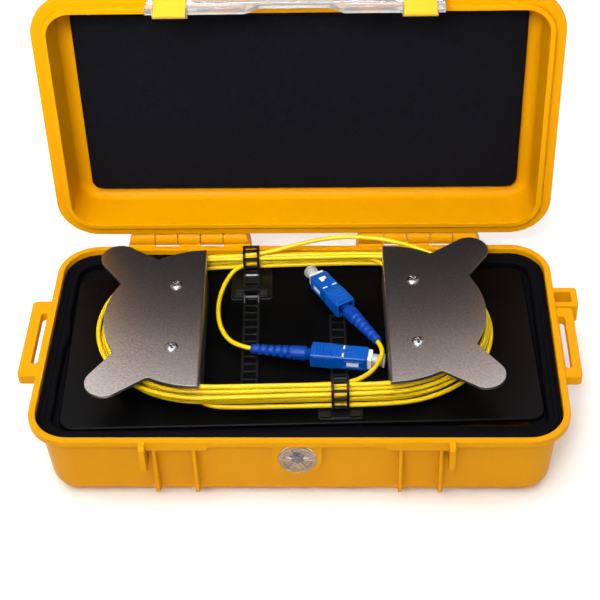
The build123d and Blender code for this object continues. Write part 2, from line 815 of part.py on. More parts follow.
def build_connector(plug, key):
    """Write the grip, plug body, ferrule, dust cap and boot of one connector."""
    axis_plane = Plane(origin=plug.origin, x_dir=plug.z_dir, z_dir=plug.x_dir)
    along = Axis(plug.origin, plug.z_dir)
    body_start = body_inset
    nose = grip_length + plug_nose

    with BuildPart() as grip:
        with BuildSketch(plug):
            RectangleRounded(grip_width, grip_height, grip_corner)
        extrude(amount=grip_length)
        for side in (-1, 1):
            with BuildSketch(Plane(
                origin=plug.origin + plug.x_dir * side * grip_width / 2,
                x_dir=plug.z_dir, z_dir=plug.x_dir * side,
            )):
                for groove in range(5):
                    with Locations((grip_length - 6.0 - groove * 1.6, 0)):
                        Rectangle(0.8, grip_height - 2.0)
            extrude(amount=-0.4, mode=Mode.SUBTRACT)
        with BuildSketch(Plane(
            origin=plug.origin + plug.y_dir * grip_height / 2, x_dir=plug.z_dir, z_dir=plug.y_dir
        )):
            with Locations((grip_length - 4.5, 0)):
                Rectangle(6.0, 2.2)
        extrude(amount=0.6)
        with BuildSketch(plug):
            RectangleRounded(
                plug_width + 2 * slide_fit, plug_height + 2 * slide_fit, grip_corner / 2
            )
        extrude(amount=grip_length, mode=Mode.SUBTRACT)
    save(grip, f"connector_{key}_grip")

    with BuildPart() as body:
        with BuildSketch(plug.offset(body_start)):
            RectangleRounded(plug_width, plug_height, grip_corner / 2 - slide_fit)
        extrude(amount=nose - body_start)
        with BuildSketch(plug.offset(nose)):
            Circle(ferrule_radius + 0.02)
        extrude(amount=-ferrule_length, mode=Mode.SUBTRACT)
    save(body, f"connector_{key}_body")

    with BuildPart() as ferrule:
        with BuildSketch(plug.offset(nose - ferrule_length + 0.2)):
            Circle(ferrule_radius)
        extrude(amount=ferrule_length + cap_length - 1.6)
        chamfer(ferrule.faces().sort_by(along)[-1].edges(), 0.3)
    save(ferrule, f"connector_{key}_ferrule")

    with BuildPart() as dust_cap:
        with BuildSketch(plug.offset(nose + slip)):
            Circle(cap_radius)
        extrude(amount=cap_length - slip)
        with BuildSketch(plug.offset(nose + cap_length - 1.2)):
            Circle(cap_head_radius)
        extrude(amount=1.2)
        with BuildSketch(plug.offset(nose)):
            Circle(ferrule_radius + 0.03)
        extrude(amount=cap_length - 1.1, mode=Mode.SUBTRACT)
        fillet(dust_cap.faces().sort_by(along)[-1].edges(), 0.4)
    save(dust_cap, f"connector_{key}_dust_cap")

    with BuildPart() as boot:
        with BuildSketch(axis_plane) as boot_profile:
            with BuildLine():
                Polyline(
                    (-boot_neck - boot_length, 0),
                    (-boot_neck - boot_length, boot_tip_radius),
                    (-boot_neck, boot_radius),
                    (-boot_neck, boot_neck_radius),
                    (body_start, boot_neck_radius),
                    (body_start, 0),
                    close=True,
                )
            make_face()
            for groove in range(boot_grooves):
                start = -boot_neck - boot_length + 3.0 + groove * 3.0
                radius = boot_tip_radius + (start + boot_neck + boot_length) * (
                    boot_radius - boot_tip_radius
                ) / boot_length
                with Locations((start, radius)):
                    Rectangle(boot_groove, 1.1, mode=Mode.SUBTRACT)
        revolve(axis=along)
        with BuildSketch(plug.offset(-boot_neck - boot_length)):
            Circle(lead_radius + pin_clearance)
        extrude(amount=boot_length, mode=Mode.SUBTRACT)
    save(boot, f"connector_{key}_boot")


plug_a = plug_plane(plug_a_x, plug_a_y, plug_a_rise, plug_a_heading, plug_a_tilt)
plug_b = plug_plane(plug_b_x, plug_b_y, plug_b_rise, plug_b_heading, plug_b_tilt)
build_connector(plug_a, "a")
build_connector(plug_b, "b")


# ---- Free stretches of the leads: straight runs joined by tangent arcs ----
def build_lead(points, name):
    """Sweep a lead along its points, given on the deck, with arcs as large as the runs allow."""
    places = [deck.from_local_coords(Vector(*point)) for point in points]
    runs = [end - start for start, end in zip(places, places[1:])]
    radii = []
    for before, after in zip(runs, runs[1:]):
        half_turn = radians(before.get_angle(after) / 2)
        radii.append(0.45 * min(before.length, after.length) / tan(half_turn))
    with BuildPart() as lead:
        with BuildLine() as route:
            FilletPolyline(*places, radius=radii)
        with BuildSketch(Plane(origin=route.line @ 0, z_dir=route.line % 0)):
            Circle(lead_radius)
        sweep()
    save(lead, name)
    length = sum(edge.length for edge in route.edges())
    print(name, "radii", [round(radius, 1) for radius in radii], "length", round(length, 1))


boot_mouth = boot_neck + boot_length
lead_hold = 5.0


def boot_point(plug, distance):
    """Deck coordinates of a point on a connector's axis, behind its grip."""
    return tuple(deck.to_local_coords(plug.origin - plug.z_dir * distance))


exit_z = core_floor + anchor_axis
low_z = coil_floor + coil_height / 2
high_z = low_z + coil_height + coil_gap
anchor_mouth = anchor_back - anchor_length / 2
build_lead(
    [
        (-anchor_x, anchor_mouth + 2, exit_z),
        (-anchor_x + 0.3, -12, exit_z),
        (-anchor_x - 0.2, -24, exit_z - 0.3),
        (-43.4, -35, exit_z - 0.6),
        (-35.5, -41, low_z),
        (-25, -40.2, low_z),
    ],
    "lead_a_start",
)
build_lead(
    [
        (anchor_x, -anchor_mouth - 2, exit_z),
        (anchor_x - 0.3, 12, exit_z + 0.4),
        (anchor_x + 0.2, 24, exit_z + 1.6),
        (43.6, 36, exit_z + 3.2),
        (35.5, 44.6, high_z - 0.4),
        (24, 45, high_z),
    ],
    "lead_b_start",
)
build_lead(
    [
        (-16, 45.5, low_z),
        (-27, 43, low_z),
        (-31.5, 33, low_z),
        (-34.5, 20, low_z - 0.1),
        (-33.2, 4, low_z - 0.1),
        boot_point(plug_a, boot_mouth + 7),
        boot_point(plug_a, boot_mouth - lead_hold),
    ],
    "lead_a_tail",
)
build_lead(
    [
        (11, -40.2, high_z),
        (22.5, -39.3, high_z),
        (31, -32, high_z - 0.6),
        (35.8, -23, high_z - 1.2),
        boot_point(plug_b, boot_mouth + 4.5),
        boot_point(plug_b, boot_mouth - lead_hold),
    ],
    "lead_b_tail",
)


# ---- Fibre reel below the deck, held between two foam cradles ----
with BuildPart() as reel:
    with BuildSketch(Plane.XY.offset(floor_wall)):
        Circle(reel_radius)
        Circle(reel_hub_radius - reel_hub_wall, mode=Mode.SUBTRACT)
    extrude(amount=reel_flange)
    with BuildSketch(Plane.XY.offset(floor_wall)):
        Circle(reel_hub_radius)
        Circle(reel_hub_radius - reel_hub_wall, mode=Mode.SUBTRACT)
    extrude(amount=reel_height)
    with BuildSketch(Plane.XY.offset(floor_wall + reel_height - reel_flange)):
        Circle(reel_radius)
        Circle(reel_hub_radius - reel_hub_wall, mode=Mode.SUBTRACT)
    extrude(amount=reel_flange)
save(reel, "fibre_reel")

with BuildPart() as fibre:
    with BuildSketch(Plane.XY.offset(floor_wall + reel_flange + slip)):
        Circle(fibre_radius)
        Circle(reel_hub_radius + slip, mode=Mode.SUBTRACT)
    extrude(amount=reel_height - 2 * reel_flange - 2 * slip)
save(fibre, "fibre_winding")

for side, name in ((-1, "reel_cradle_left"), (1, "reel_cradle_right")):
    with BuildPart() as cradle:
        with BuildSketch(Plane.XY.offset(floor_wall)):
            with Locations((side * (reel_radius / 2 + cradle_width / 2 + 4), 0)):
                Rectangle(cradle_width, cradle_depth)
            Circle(reel_radius + gap, mode=Mode.SUBTRACT)
        extrude(amount=reel_height)
    save(cradle, name)


# ---- Lid, drawn closed and turned open about the hinge ----
lid_outside = drafted_block(
    wall_width, wall_depth, wall_corner, lid_height - flange, lid_edge
).rotate(Axis.X, 180).moved(Location((0, 0, rim_z + flange)))
lid_inside = drafted_block(
    inside_width, inside_depth, inside_corner, lid_height - wall + tongue_drop, lid_edge - wall
).rotate(Axis.X, 180).moved(Location((0, 0, rim_z - tongue_drop)))
lid_knuckles = knuckles(1, flange, 0)
latch_pivot = (front_y + latch_pivot_inset, rim_z + latch_pivot_height)
with BuildPart() as lid_shell:
    add(lid_outside)
    with BuildSketch(Plane.XY.offset(rim_z)):
        RectangleRounded(case_width, case_depth, case_corner)
    extrude(amount=flange)
    with BuildSketch(Plane.XY.offset(rim_z + flange)):
        RectangleRounded(case_width - 0.8, case_depth - 0.8, case_corner - 0.4)
    extrude(amount=flange, taper=45)
    with BuildSketch(Plane.XY.offset(rim_z - tongue_drop)):
        RectangleRounded(
            case_width - 2 * tongue_inset, case_depth - 2 * tongue_inset,
            case_corner - tongue_inset,
        )
    extrude(amount=tongue_drop)
    for side in (-1, 1):
        with BuildSketch(side_plane(side * latch_boss_centre - latch_boss_width / 2)):
            with BuildLine():
                Polyline(
                    (latch_pivot[0], latch_pivot[1] + latch_knuckle_radius),
                    (latch_pivot[0], latch_pivot[1] - latch_knuckle_radius),
                    (front_y + flange_reach + 1.6, latch_pivot[1] - latch_knuckle_radius - 2),
                    (front_y + flange_reach + 1.6, latch_pivot[1] + latch_knuckle_radius),
                    close=True,
                )
            make_face()
            with Locations(latch_pivot):
                Circle(latch_knuckle_radius)
                Circle(latch_pin_radius + pin_clearance, mode=Mode.SUBTRACT)
        extrude(amount=latch_boss_width)
    add(lid_knuckles)
    add(lid_inside, mode=Mode.SUBTRACT)
save_on_lid(lid_shell, "lid_shell")

with BuildPart() as lid_pad:
    with BuildSketch(Plane.XY.offset(rim_z + lid_height - wall)):
        RectangleRounded(pad_width, pad_depth, pad_corner)
    extrude(amount=-pad_thickness)
    fillet(lid_pad.faces().sort_by(Axis.Z)[0].edges(), 0.8)
save_on_lid(lid_pad, "lid_pad")

with BuildPart() as latch_pins:
    for side in (-1, 1):
        with BuildSketch(side_plane(side * latch_boss_centre - latch_pin_length / 2)):
            with Locations(latch_pivot):
                Circle(latch_pin_radius)
        extrude(amount=latch_pin_length)
save_on_lid(latch_pins, "latch_pins")


# ---- Latch: one clear plate across the front, with a notch for each catch ----
latch_back = front_y - latch_standoff
latch_front = Plane(origin=(0, latch_back, rim_z), x_dir=(1, 0, 0), z_dir=(0, -1, 0))
latch_half = latch_width / 2
latch_top = latch_pivot_height - latch_knuckle_radius - 2 * gap
notch_half = catch_width / 2 + catch_side_gap
catch_pivot = (latch_back - catch_pin_standoff + latch_plate / 3, rim_z - catch_pin_drop)
knuckle_outer = latch_pin_length / 2
knuckle_inner = latch_boss_width / 2 + knuckle_gap / 2
with BuildPart() as latch_body:
    with BuildSketch(latch_front):
        with BuildLine():
            Polyline(
                (-latch_half, latch_top),
                (-latch_half, -latch_arm_drop),
                (-latch_middle_half - latch_slant, -latch_arm_drop),
                (-latch_middle_half, -latch_middle_drop),
                (latch_middle_half, -latch_middle_drop),
                (latch_middle_half + latch_slant, -latch_arm_drop),
                (latch_half, -latch_arm_drop),
                (latch_half, latch_top),
                close=True,
            )
        make_face()
    extrude(amount=latch_plate)
    with BuildSketch(latch_front):
        with Locations((0, -latch_middle_drop + 1.25)):
            Rectangle(2 * latch_middle_half, 2.5)
        for side in (-1, 1):
            bar = latch_half - latch_middle_half - latch_slant
            with Locations((side * (latch_half - bar / 2), -latch_arm_drop + 1.5)):
                Rectangle(bar, 3.0)
    extrude(amount=latch_bar)
    for side in (-1, 1):
        for end in (-1, 1):
            start = side * latch_boss_centre + end * (knuckle_inner + knuckle_outer) / 2
            width = knuckle_outer - knuckle_inner
            with BuildSketch(side_plane(start - width / 2)):
                with BuildLine():
                    Polyline(
                        latch_pivot,
                        (latch_pivot[0] - latch_knuckle_radius, latch_pivot[1]),
                        (latch_back - latch_plate, rim_z + latch_top - 1),
                        (latch_back, rim_z + latch_top - 1),
                        (latch_pivot[0] + 0.4, latch_pivot[1] - latch_knuckle_radius + 0.4),
                        close=True,
                    )
                make_face()
                with Locations(latch_pivot):
                    Circle(latch_knuckle_radius)
            extrude(amount=width)
            cheek_start = side * catch_centre + end * (notch_half + cheek / 2)
            with BuildSketch(side_plane(cheek_start - cheek / 2)):
                with Locations(catch_pivot):
                    Rectangle(2 * (latch_back - catch_pivot[0]), 5.5)
            extrude(amount=cheek)
        with BuildSketch(latch_front):
            with Locations((side * catch_centre, -latch_arm_drop)):
                Rectangle(2 * notch_half, 2 * (latch_arm_drop - 3.2))
        extrude(amount=4 * latch_bar, both=True, mode=Mode.SUBTRACT)
        # Bridge behind the thumb tab, joined to the plate on both sides of the notch.
        with BuildSketch(latch_front.offset(-bridge_reach)):
            with Locations((side * catch_centre, -latch_arm_drop + bridge_height / 2)):
                Rectangle(2 * (notch_half + bridge_side), bridge_height)
        extrude(amount=bridge_reach + latch_plate / 2)
        with BuildSketch(latch_front.offset(bridge_wall - bridge_reach)):
            with Locations((side * catch_centre, -latch_arm_drop)):
                Rectangle(2 * notch_half, 4 * bridge_height)
        extrude(amount=4 * latch_bar, mode=Mode.SUBTRACT)
    for point, radius in ((latch_pivot, latch_pin_radius), (catch_pivot, catch_pin_radius)):
        with BuildSketch(side_plane(0)):
            with Locations(point):
                Circle(radius + pin_clearance)
        extrude(amount=latch_width, both=True, mode=Mode.SUBTRACT)
save_on_lid(latch_body, "latch_body")

with BuildPart() as catch_pins:
    for side in (-1, 1):
        with BuildSketch(side_plane(side * catch_centre - catch_pin_length / 2)):
            with Locations(catch_pivot):
                Circle(catch_pin_radius)
        extrude(amount=catch_pin_length)
save_on_lid(catch_pins, "catch_pins")

# A catch is drawn engaged, about its pin, and swung free: claw at the top, thumb tab below.
claw_y = front_y + catch_bite - catch_pivot[0]
claw_z = catch_pin_drop - flange - ledge_drop - gap
tab_z = catch_pin_drop - catch_tab_drop
for side, name in ((-1, "catch_left"), (1, "catch_right")):
    with BuildPart() as catch:
        with BuildSketch(side_plane(side * catch_centre - catch_width / 2)):
            with Locations(Location((*catch_pivot, 0), (0, 0, catch_swing))):
                Polygon(
                    (claw_y, claw_z),
                    (claw_y, claw_z - 1.7),
                    (claw_y - 1.9, claw_z - 2.9),
                    (1.4, -1.2),
                    (-1.7, tab_z),
                    (-2.9, tab_z),
                    (-2.4, 2.0),
                    (-1.4, claw_z),
                    align=None,
                )
                Circle(catch_pin_radius + 2 * pin_clearance, mode=Mode.SUBTRACT)
        extrude(amount=catch_width)
    save_on_lid(catch, name)
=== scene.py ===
"""Looks of the launch-lead box: leads, liner, pad, connectors, finishes, light and camera."""

import json
import math

import bmesh
import bpy
from mathutils import Matrix, Vector, noise


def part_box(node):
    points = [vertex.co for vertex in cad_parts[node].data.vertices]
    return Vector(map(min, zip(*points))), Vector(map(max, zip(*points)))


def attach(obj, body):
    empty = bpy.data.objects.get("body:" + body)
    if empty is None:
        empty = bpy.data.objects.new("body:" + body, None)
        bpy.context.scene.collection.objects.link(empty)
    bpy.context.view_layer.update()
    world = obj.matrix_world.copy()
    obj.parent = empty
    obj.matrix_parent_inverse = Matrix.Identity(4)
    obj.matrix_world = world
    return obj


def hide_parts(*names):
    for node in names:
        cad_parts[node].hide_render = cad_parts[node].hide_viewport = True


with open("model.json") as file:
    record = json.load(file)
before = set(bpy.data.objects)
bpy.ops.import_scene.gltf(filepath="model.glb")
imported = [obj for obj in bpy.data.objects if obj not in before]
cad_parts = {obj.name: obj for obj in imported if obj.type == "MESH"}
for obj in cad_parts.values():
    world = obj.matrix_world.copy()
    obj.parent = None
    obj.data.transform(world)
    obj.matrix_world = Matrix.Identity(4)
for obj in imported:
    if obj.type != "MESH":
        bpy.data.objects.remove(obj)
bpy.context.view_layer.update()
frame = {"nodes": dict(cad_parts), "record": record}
nodes = frame["nodes"]

# ---- Sizes of the box, in millimetres, as the CAD has them ----
CASE = (224.0, 123.0, 18.0)  # width, depth, corner radius of the rim
RIM_Z = 41.0
RIM_LAND = 2.8
HINGE_Y, HINGE_Z, LID_OPENING = 65.3, 43.4, 92.0
DECK = (-2.2, 2.3, 36.5)  # deck plate's own origin
DECK_TURN = math.radians(1.7)
BRACKET_TOP = 17.0
SCREWS = [(side * 51.85, end * 19.5) for side in (-1, 1) for end in (-1, 1)]


def metres(x, y, z):
    return Vector((x, y, z)) * 0.001


def on_deck(x, y, z):
    """A point given in the deck's own millimetres, in metres in the shared frame."""
    c, s = math.cos(DECK_TURN), math.sin(DECK_TURN)
    return metres(DECK[0] + x * c - y * s, DECK[1] + x * s + y * c, DECK[2] + z)


def on_lid(x, y, z):
    """A point of the shut lid, in millimetres, carried to the open lid, in metres."""
    c, s = math.cos(math.radians(LID_OPENING)), math.sin(math.radians(LID_OPENING))
    dy, dz = y - HINGE_Y, z - HINGE_Z
    return metres(x, HINGE_Y + dy * c + dz * s, HINGE_Z - dy * s + dz * c)


# ---- Camera ----
def set_camera():
    yaw, pitch, roll = (math.radians(a) for a in (-2.88, 42.23, 2.13))
    forward = Vector(
        (math.sin(yaw) * math.cos(pitch), math.cos(yaw) * math.cos(pitch), -math.sin(pitch))
    )
    right = Vector((math.cos(yaw), -math.sin(yaw), 0))
    down = forward.cross(right)
    right, down = (
        right * math.cos(roll) + down * math.sin(roll),
        down * math.cos(roll) - right * math.sin(roll),
    )
    camera = bpy.data.cameras.new("camera")
    camera.lens, camera.sensor_width = 91.76, 36.0
    camera.clip_start = 0.01
    holder = bpy.data.objects.new("camera", camera)
    turn = Matrix((right, -down, -forward)).transposed()
    holder.matrix_world = Matrix.Translation(metres(24.6, -479.5, 498.7)) @ turn.to_4x4()
    bpy.context.scene.collection.objects.link(holder)
    bpy.context.scene.camera = holder


set_camera()


# ---- Finishes ----
def shader_group(name, inputs, outputs):
    group = bpy.data.node_groups.new(name, "ShaderNodeTree")
    kinds = {"f": "NodeSocketFloat", "c": "NodeSocketColor", "v": "NodeSocketVector"}
    for label, kind, value in inputs:
        socket = group.interface.new_socket(
            name=label, in_out="INPUT", socket_type=kinds[kind]
        )
        socket.default_value = value
    for label, kind in outputs:
        group.interface.new_socket(name=label, in_out="OUTPUT", socket_type=kinds[kind])
    return (
        group,
        group.nodes.new("NodeGroupInput").outputs,
        group.nodes.new("NodeGroupOutput").inputs,
    )


def wire(tree, kind, links=None, outputs=None, **settings):
    """Add a node, set its fields and feed its sockets from values or other sockets."""
    node = tree.nodes.new(kind)
    for field, value in settings.items():
        setattr(node, field, value)
    for socket, source in (links or {}).items():
        if isinstance(source, bpy.types.NodeSocket):
            tree.links.new(source, node.inputs[socket])
        else:
            node.inputs[socket].default_value = source
    return node


def moulded_grain_group():
    """Moulded plastic: soft edges, fine grain, cloudy colour, paler worn edges."""
    group, given, out = shader_group(
        "moulded_grain",
        [
            ("Color", "c", (0.8, 0.8, 0.8, 1)),
            ("Edge Color", "c", (0.9, 0.9, 0.9, 1)),
            ("Cloud", "f", 0.06),
            ("Grain Scale", "f", 2500.0),
            ("Grain Depth", "f", 0.1),
            ("Edge Radius", "f", 0.0004),
            ("Roughness", "f", 0.4),
            ("Roughness Spread", "f", 0.1),
        ],
        [("Color", "c"), ("Roughness", "f"), ("Normal", "v")],
    )
    place = wire(group, "ShaderNodeTexCoord").outputs["Object"]
    cloud = wire(group, "ShaderNodeTexNoise", {"Vector": place, "Scale": 26.0, "Detail": 4.0})
    grain = wire(
        group,
        "ShaderNodeTexNoise",
        {"Vector": place, "Scale": given["Grain Scale"], "Detail": 3.0},
    )
    soft = wire(group, "ShaderNodeBevel", {"Radius": given["Edge Radius"]}, samples=4)
    true = wire(group, "ShaderNodeNewGeometry").outputs["True Normal"]
    facing = wire(
        group, "ShaderNodeVectorMath", {0: soft.outputs[0], 1: true}, operation="DOT_PRODUCT"
    )
    edge = wire(
        group,
        "ShaderNodeMapRange",
        {"Value": facing.outputs["Value"], 1: 0.99, 2: 0.75, 3: 0.0, 4: 0.6},
    )
    rubbed = wire(
        group,
        "ShaderNodeMath",
        {0: edge.outputs[0], 1: cloud.outputs["Fac"]},
        operation="MULTIPLY",
    )
    spread = wire(
        group,
        "ShaderNodeMapRange",
        {"Value": cloud.outputs["Fac"], 1: 0.3, 2: 0.7, 3: -0.5, 4: 0.5},
    )
    shade = wire(
        group, "ShaderNodeMath", {0: spread.outputs[0], 1: given["Cloud"], 2: 1.0},
        operation="MULTIPLY_ADD",
    )
    clouded = wire(
        group, "ShaderNodeVectorMath", {0: given["Color"], "Scale": shade.outputs[0]},
        operation="SCALE",
    )
    worn = wire(
        group,
        "ShaderNodeMix",
        {0: rubbed.outputs[0], 6: clouded.outputs[0], 7: given["Edge Color"]},
        data_type="RGBA",
    )
    rough = wire(
        group,
        "ShaderNodeMath",
        {0: spread.outputs[0], 1: given["Roughness Spread"], 2: given["Roughness"]},
        operation="MULTIPLY_ADD",
    )
    bump = wire(
        group,
        "ShaderNodeBump",
        {
            "Strength": given["Grain Depth"],
            "Distance": 0.0002,
            "Height": grain.outputs["Fac"],
            "Normal": soft.outputs[0],
        },
    )
    group.links.new(worn.outputs[2], out["Color"])
    group.links.new(rough.outputs[0], out["Roughness"])
    group.links.new(bump.outputs[0], out["Normal"])
    return group


def blasted_metal_group():
    """Sheet or turned metal: short streaks one way over a bead-blasted sparkle."""
    group, given, out = shader_group(
        "blasted_metal",
        [
            ("Color", "c", (0.6, 0.6, 0.6, 1)),
            ("Streak", "f", 0.15),
            ("Speckle", "f", 0.25),
            ("Speckle Scale", "f", 1800.0),
            ("Depth", "f", 0.25),
            ("Roughness", "f", 0.35),
        ],
        [("Color", "c"), ("Roughness", "f"), ("Normal", "v")],
    )
    place = wire(group, "ShaderNodeTexCoord").outputs["Object"]
    along = wire(
        group, "ShaderNodeMapping", {"Vector": place, "Scale": (90.0, 1400.0, 1400.0)}
    )
    streak = wire(
        group, "ShaderNodeTexNoise", {"Vector": along.outputs[0], "Scale": 1.0, "Detail": 3.0}
    )
    speck = wire(
        group,
        "ShaderNodeTexNoise",
        {"Vector": place, "Scale": given["Speckle Scale"], "Detail": 2.0},
    )
    both = []
    for source, amount in ((streak, "Streak"), (speck, "Speckle")):
        centred = wire(
            group, "ShaderNodeMath", {0: source.outputs["Fac"], 1: 0.5}, operation="SUBTRACT"
        )
        both.append(
            wire(
                group, "ShaderNodeMath", {0: centred.outputs[0], 1: given[amount], 2: 1.0},
                operation="MULTIPLY_ADD",
            )
        )
    shade = wire(
        group, "ShaderNodeMath", {0: both[0].outputs[0], 1: both[1].outputs[0]},
        operation="MULTIPLY",
    )
    coloured = wire(
        group, "ShaderNodeVectorMath", {0: given["Color"], "Scale": shade.outputs[0]},
        operation="SCALE",
    )
    rough = wire(
        group, "ShaderNodeMath", {0: given["Roughness"], 1: both[0].outputs[0]},
        operation="MULTIPLY",
    )
    soft = wire(group, "ShaderNodeBevel", {"Radius": 0.0003}, samples=4)
    bump = wire(
        group,
        "ShaderNodeBump",
        {
            "Strength": given["Depth"],
            "Distance": 0.0001,
            "Height": speck.outputs["Fac"],
            "Normal": soft.outputs[0],
        },
    )
    group.links.new(coloured.outputs[0], out["Color"])
    group.links.new(rough.outputs[0], out["Roughness"])
    group.links.new(bump.outputs[0], out["Normal"])
    return group


def cell_foam_group():
    """Closed-cell foam: small pits over a slow swell, a little dust on top."""
    group, given, out = shader_group(
        "cell_foam",
        [
            ("Color", "c", (0.01, 0.01, 0.01, 1)),
            ("Dust Color", "c", (0.03, 0.03, 0.035, 1)),
            ("Cell Scale", "f", 900.0),
            ("Depth", "f", 0.6),
            ("Roughness", "f", 0.9),
        ],
        [("Color", "c"), ("Roughness", "f"), ("Normal", "v")],
    )
    place = wire(group, "ShaderNodeTexCoord").outputs["Object"]
    cells = wire(
        group, "ShaderNodeTexVoronoi", {"Vector": place, "Scale": given["Cell Scale"]}
    )
    fine = wire(group, "ShaderNodeTexNoise", {"Vector": place, "Scale": 700.0, "Detail": 5.0})
    dust = wire(
        group, "ShaderNodeMapRange", {"Value": fine.outputs["Fac"], 1: 0.45, 2: 0.75}
    )
    mixed = wire(
        group,
        "ShaderNodeMix",
        {0: dust.outputs[0], 6: given["Color"], 7: given["Dust Color"]},
        data_type="RGBA",
    )
    rough = wire(
        group, "ShaderNodeMath", {0: fine.outputs["Fac"], 1: 0.1, 2: given["Roughness"]},
        operation="MULTIPLY_ADD",
    )
    bump = wire(
        group,
        "ShaderNodeBump",
        {"Strength": given["Depth"], "Distance": 0.0003, "Height": cells.outputs["Distance"]},
    )
    group.links.new(mixed.outputs[2], out["Color"])
    group.links.new(rough.outputs[0], out["Roughness"])
    group.links.new(bump.outputs[0], out["Normal"])
    return group


MOULDED = moulded_grain_group()
METAL = blasted_metal_group()
FOAM = cell_foam_group()
finish = {}


def make_finish(name, group, values, shader=()):
    """A material whose colour, roughness and normal come from one of the groups."""
    material = bpy.data.materials.new(name)
    material.use_nodes = True
    tree = material.node_tree
    surface = tree.nodes["Principled BSDF"]
    for socket, value in shader:
        surface.inputs[socket].default_value = value
    part = tree.nodes.new("ShaderNodeGroup")
    part.node_tree = group
    for socket, value in values.items():
        part.inputs[socket].default_value = (*value, 1) if isinstance(value, tuple) else value
    tree.links.new(part.outputs["Color"], surface.inputs["Base Color"])
    tree.links.new(part.outputs["Roughness"], surface.inputs["Roughness"])
    tree.links.new(part.outputs["Normal"], surface.inputs["Normal"])
    finish[name] = material
    return material


def plastic(
    name, color, edge, rough, grain=0.1, scale=2500.0, cloud=0.06, shader=(), radius=0.0004
):
    return make_finish(
        name,
        MOULDED,
        {
            "Color": color,
            "Edge Color": edge,
            "Roughness": rough,
            "Grain Depth": grain,
            "Grain Scale": scale,
            "Cloud": cloud,
            "Edge Radius": radius,
        },
        shader,
    )


SHEEN = "Specular IOR Level"
plastic("case_orange", (0.63, 0.268, 0.0), (0.85, 0.42, 0.01), 0.36, 0.12, 1800.0, 0.05,
        [(SHEEN, 0.05)], 0.0006)
plastic("catch_orange", (0.7, 0.32, 0.004), (0.85, 0.45, 0.03), 0.4, 0.1, 1800.0, 0.05,
        [(SHEEN, 0.25)])
clear = [("Transmission Weight", 0.92), ("IOR", 1.45), ("Coat Weight", 0.5)]
plastic("latch_clear", (0.93, 0.93, 0.93), (1.0, 1.0, 1.0), 0.08, 0.05, 400.0, 0.02, clear)
plastic("valve_clear", (0.93, 0.9, 0.86), (1.0, 1.0, 1.0), 0.1, 0.05, 400.0, 0.02, clear)
milky = [("Transmission Weight", 0.6), ("IOR", 1.45)]
plastic("cap_clear", (0.72, 0.72, 0.68), (0.9, 0.9, 0.9), 0.3, 0.05, 900.0, 0.05, milky, 0.0001)
dull = [(SHEEN, 0.05)]
plastic("seal_rubber", (0.008, 0.008, 0.008), (0.02, 0.02, 0.02), 0.7, shader=dull)
plastic("nut_plastic", (0.02, 0.02, 0.02), (0.05, 0.05, 0.05), 0.5, shader=dull)
plastic("liner_rubber", (0.0014, 0.0015, 0.0024), (0.006, 0.006, 0.009), 0.7, 0.5, 1500.0, 0.5,
        dull)
plastic("deck_plastic", (0.0012, 0.0012, 0.0014), (0.012, 0.012, 0.014), 0.34, 0.08, 900.0, 0.5,
        [(SHEEN, 0.07)])
plastic("core_plastic", (0.003, 0.003, 0.003), (0.02, 0.02, 0.02), 0.5, 0.3, shader=dull)
plastic("anchor_rubber", (0.006, 0.006, 0.006), (0.02, 0.02, 0.02), 0.7, 0.3, shader=dull)
plastic("strap_plastic", (0.0022, 0.0022, 0.0026), (0.03, 0.03, 0.032), 0.3, 0.15, 1500.0, 0.3,
        [(SHEEN, 0.45)], 0.0002)
plastic("reel_plastic", (0.55, 0.55, 0.53), (0.7, 0.7, 0.68), 0.45)
plastic("fibre_glass", (0.72, 0.75, 0.78), (0.8, 0.8, 0.8), 0.2, 0.05)
plastic("connector_blue", (0.0, 0.065, 0.34), (0.01, 0.16, 0.55), 0.36, 0.15, 1500.0, 0.06,
        [(SHEEN, 0.3)], 0.00012)
plastic("boot_blue", (0.0, 0.035, 0.27), (0.01, 0.1, 0.45), 0.42, 0.2, 1500.0, 0.08,
        [(SHEEN, 0.2)], 0.0001)
plastic("connector_white", (0.72, 0.72, 0.68), (0.9, 0.9, 0.88), 0.4, 0.1, radius=0.00015)
plastic("ferrule_ceramic", (0.85, 0.85, 0.82), (0.95, 0.95, 0.93), 0.15, 0.03, radius=0.0001)
plastic("lead_jacket", (0.7, 0.47, 0.0), (0.85, 0.65, 0.02), 0.36, 0.2, 900.0, 0.2,
        [(SHEEN, 0.3)], 0.0001)
make_finish(
    "bracket_aluminium", METAL,
    {
        "Color": (0.45, 0.435, 0.44),
        "Roughness": 0.3,
        "Speckle": 0.9,
        "Speckle Scale": 1100.0,
        "Streak": 0.06,
        "Depth": 0.6,
    },
    [("Metallic", 1.0)],
)
make_finish(
    "steel",
    METAL,
    {"Color": (0.42, 0.42, 0.42), "Roughness": 0.22, "Speckle": 0.05, "Depth": 0.05},
    [("Metallic", 1.0)],
)
make_finish("pad_foam", FOAM,
            {"Color": (0.0025, 0.0025, 0.0038), "Dust Color": (0.005, 0.005, 0.008)},
            [(SHEEN, 0.1)])
make_finish("strap_adhesive", FOAM,
            {"Color": (0.012, 0.012, 0.012), "Dust Color": (0.03, 0.03, 0.03)})
make_finish("cradle_foam", FOAM, {"Color": (0.01, 0.01, 0.01), "Dust Color": (0.03, 0.03, 0.03)})

slots = {row["node"]: row["material_slot"] for row in frame["record"]["subparts"]}
for name, node in nodes.items():
    while len(node.material_slots) < 1:
        node.data.materials.append(None)
    for place in node.material_slots:
        place.material = finish[slots[name]]


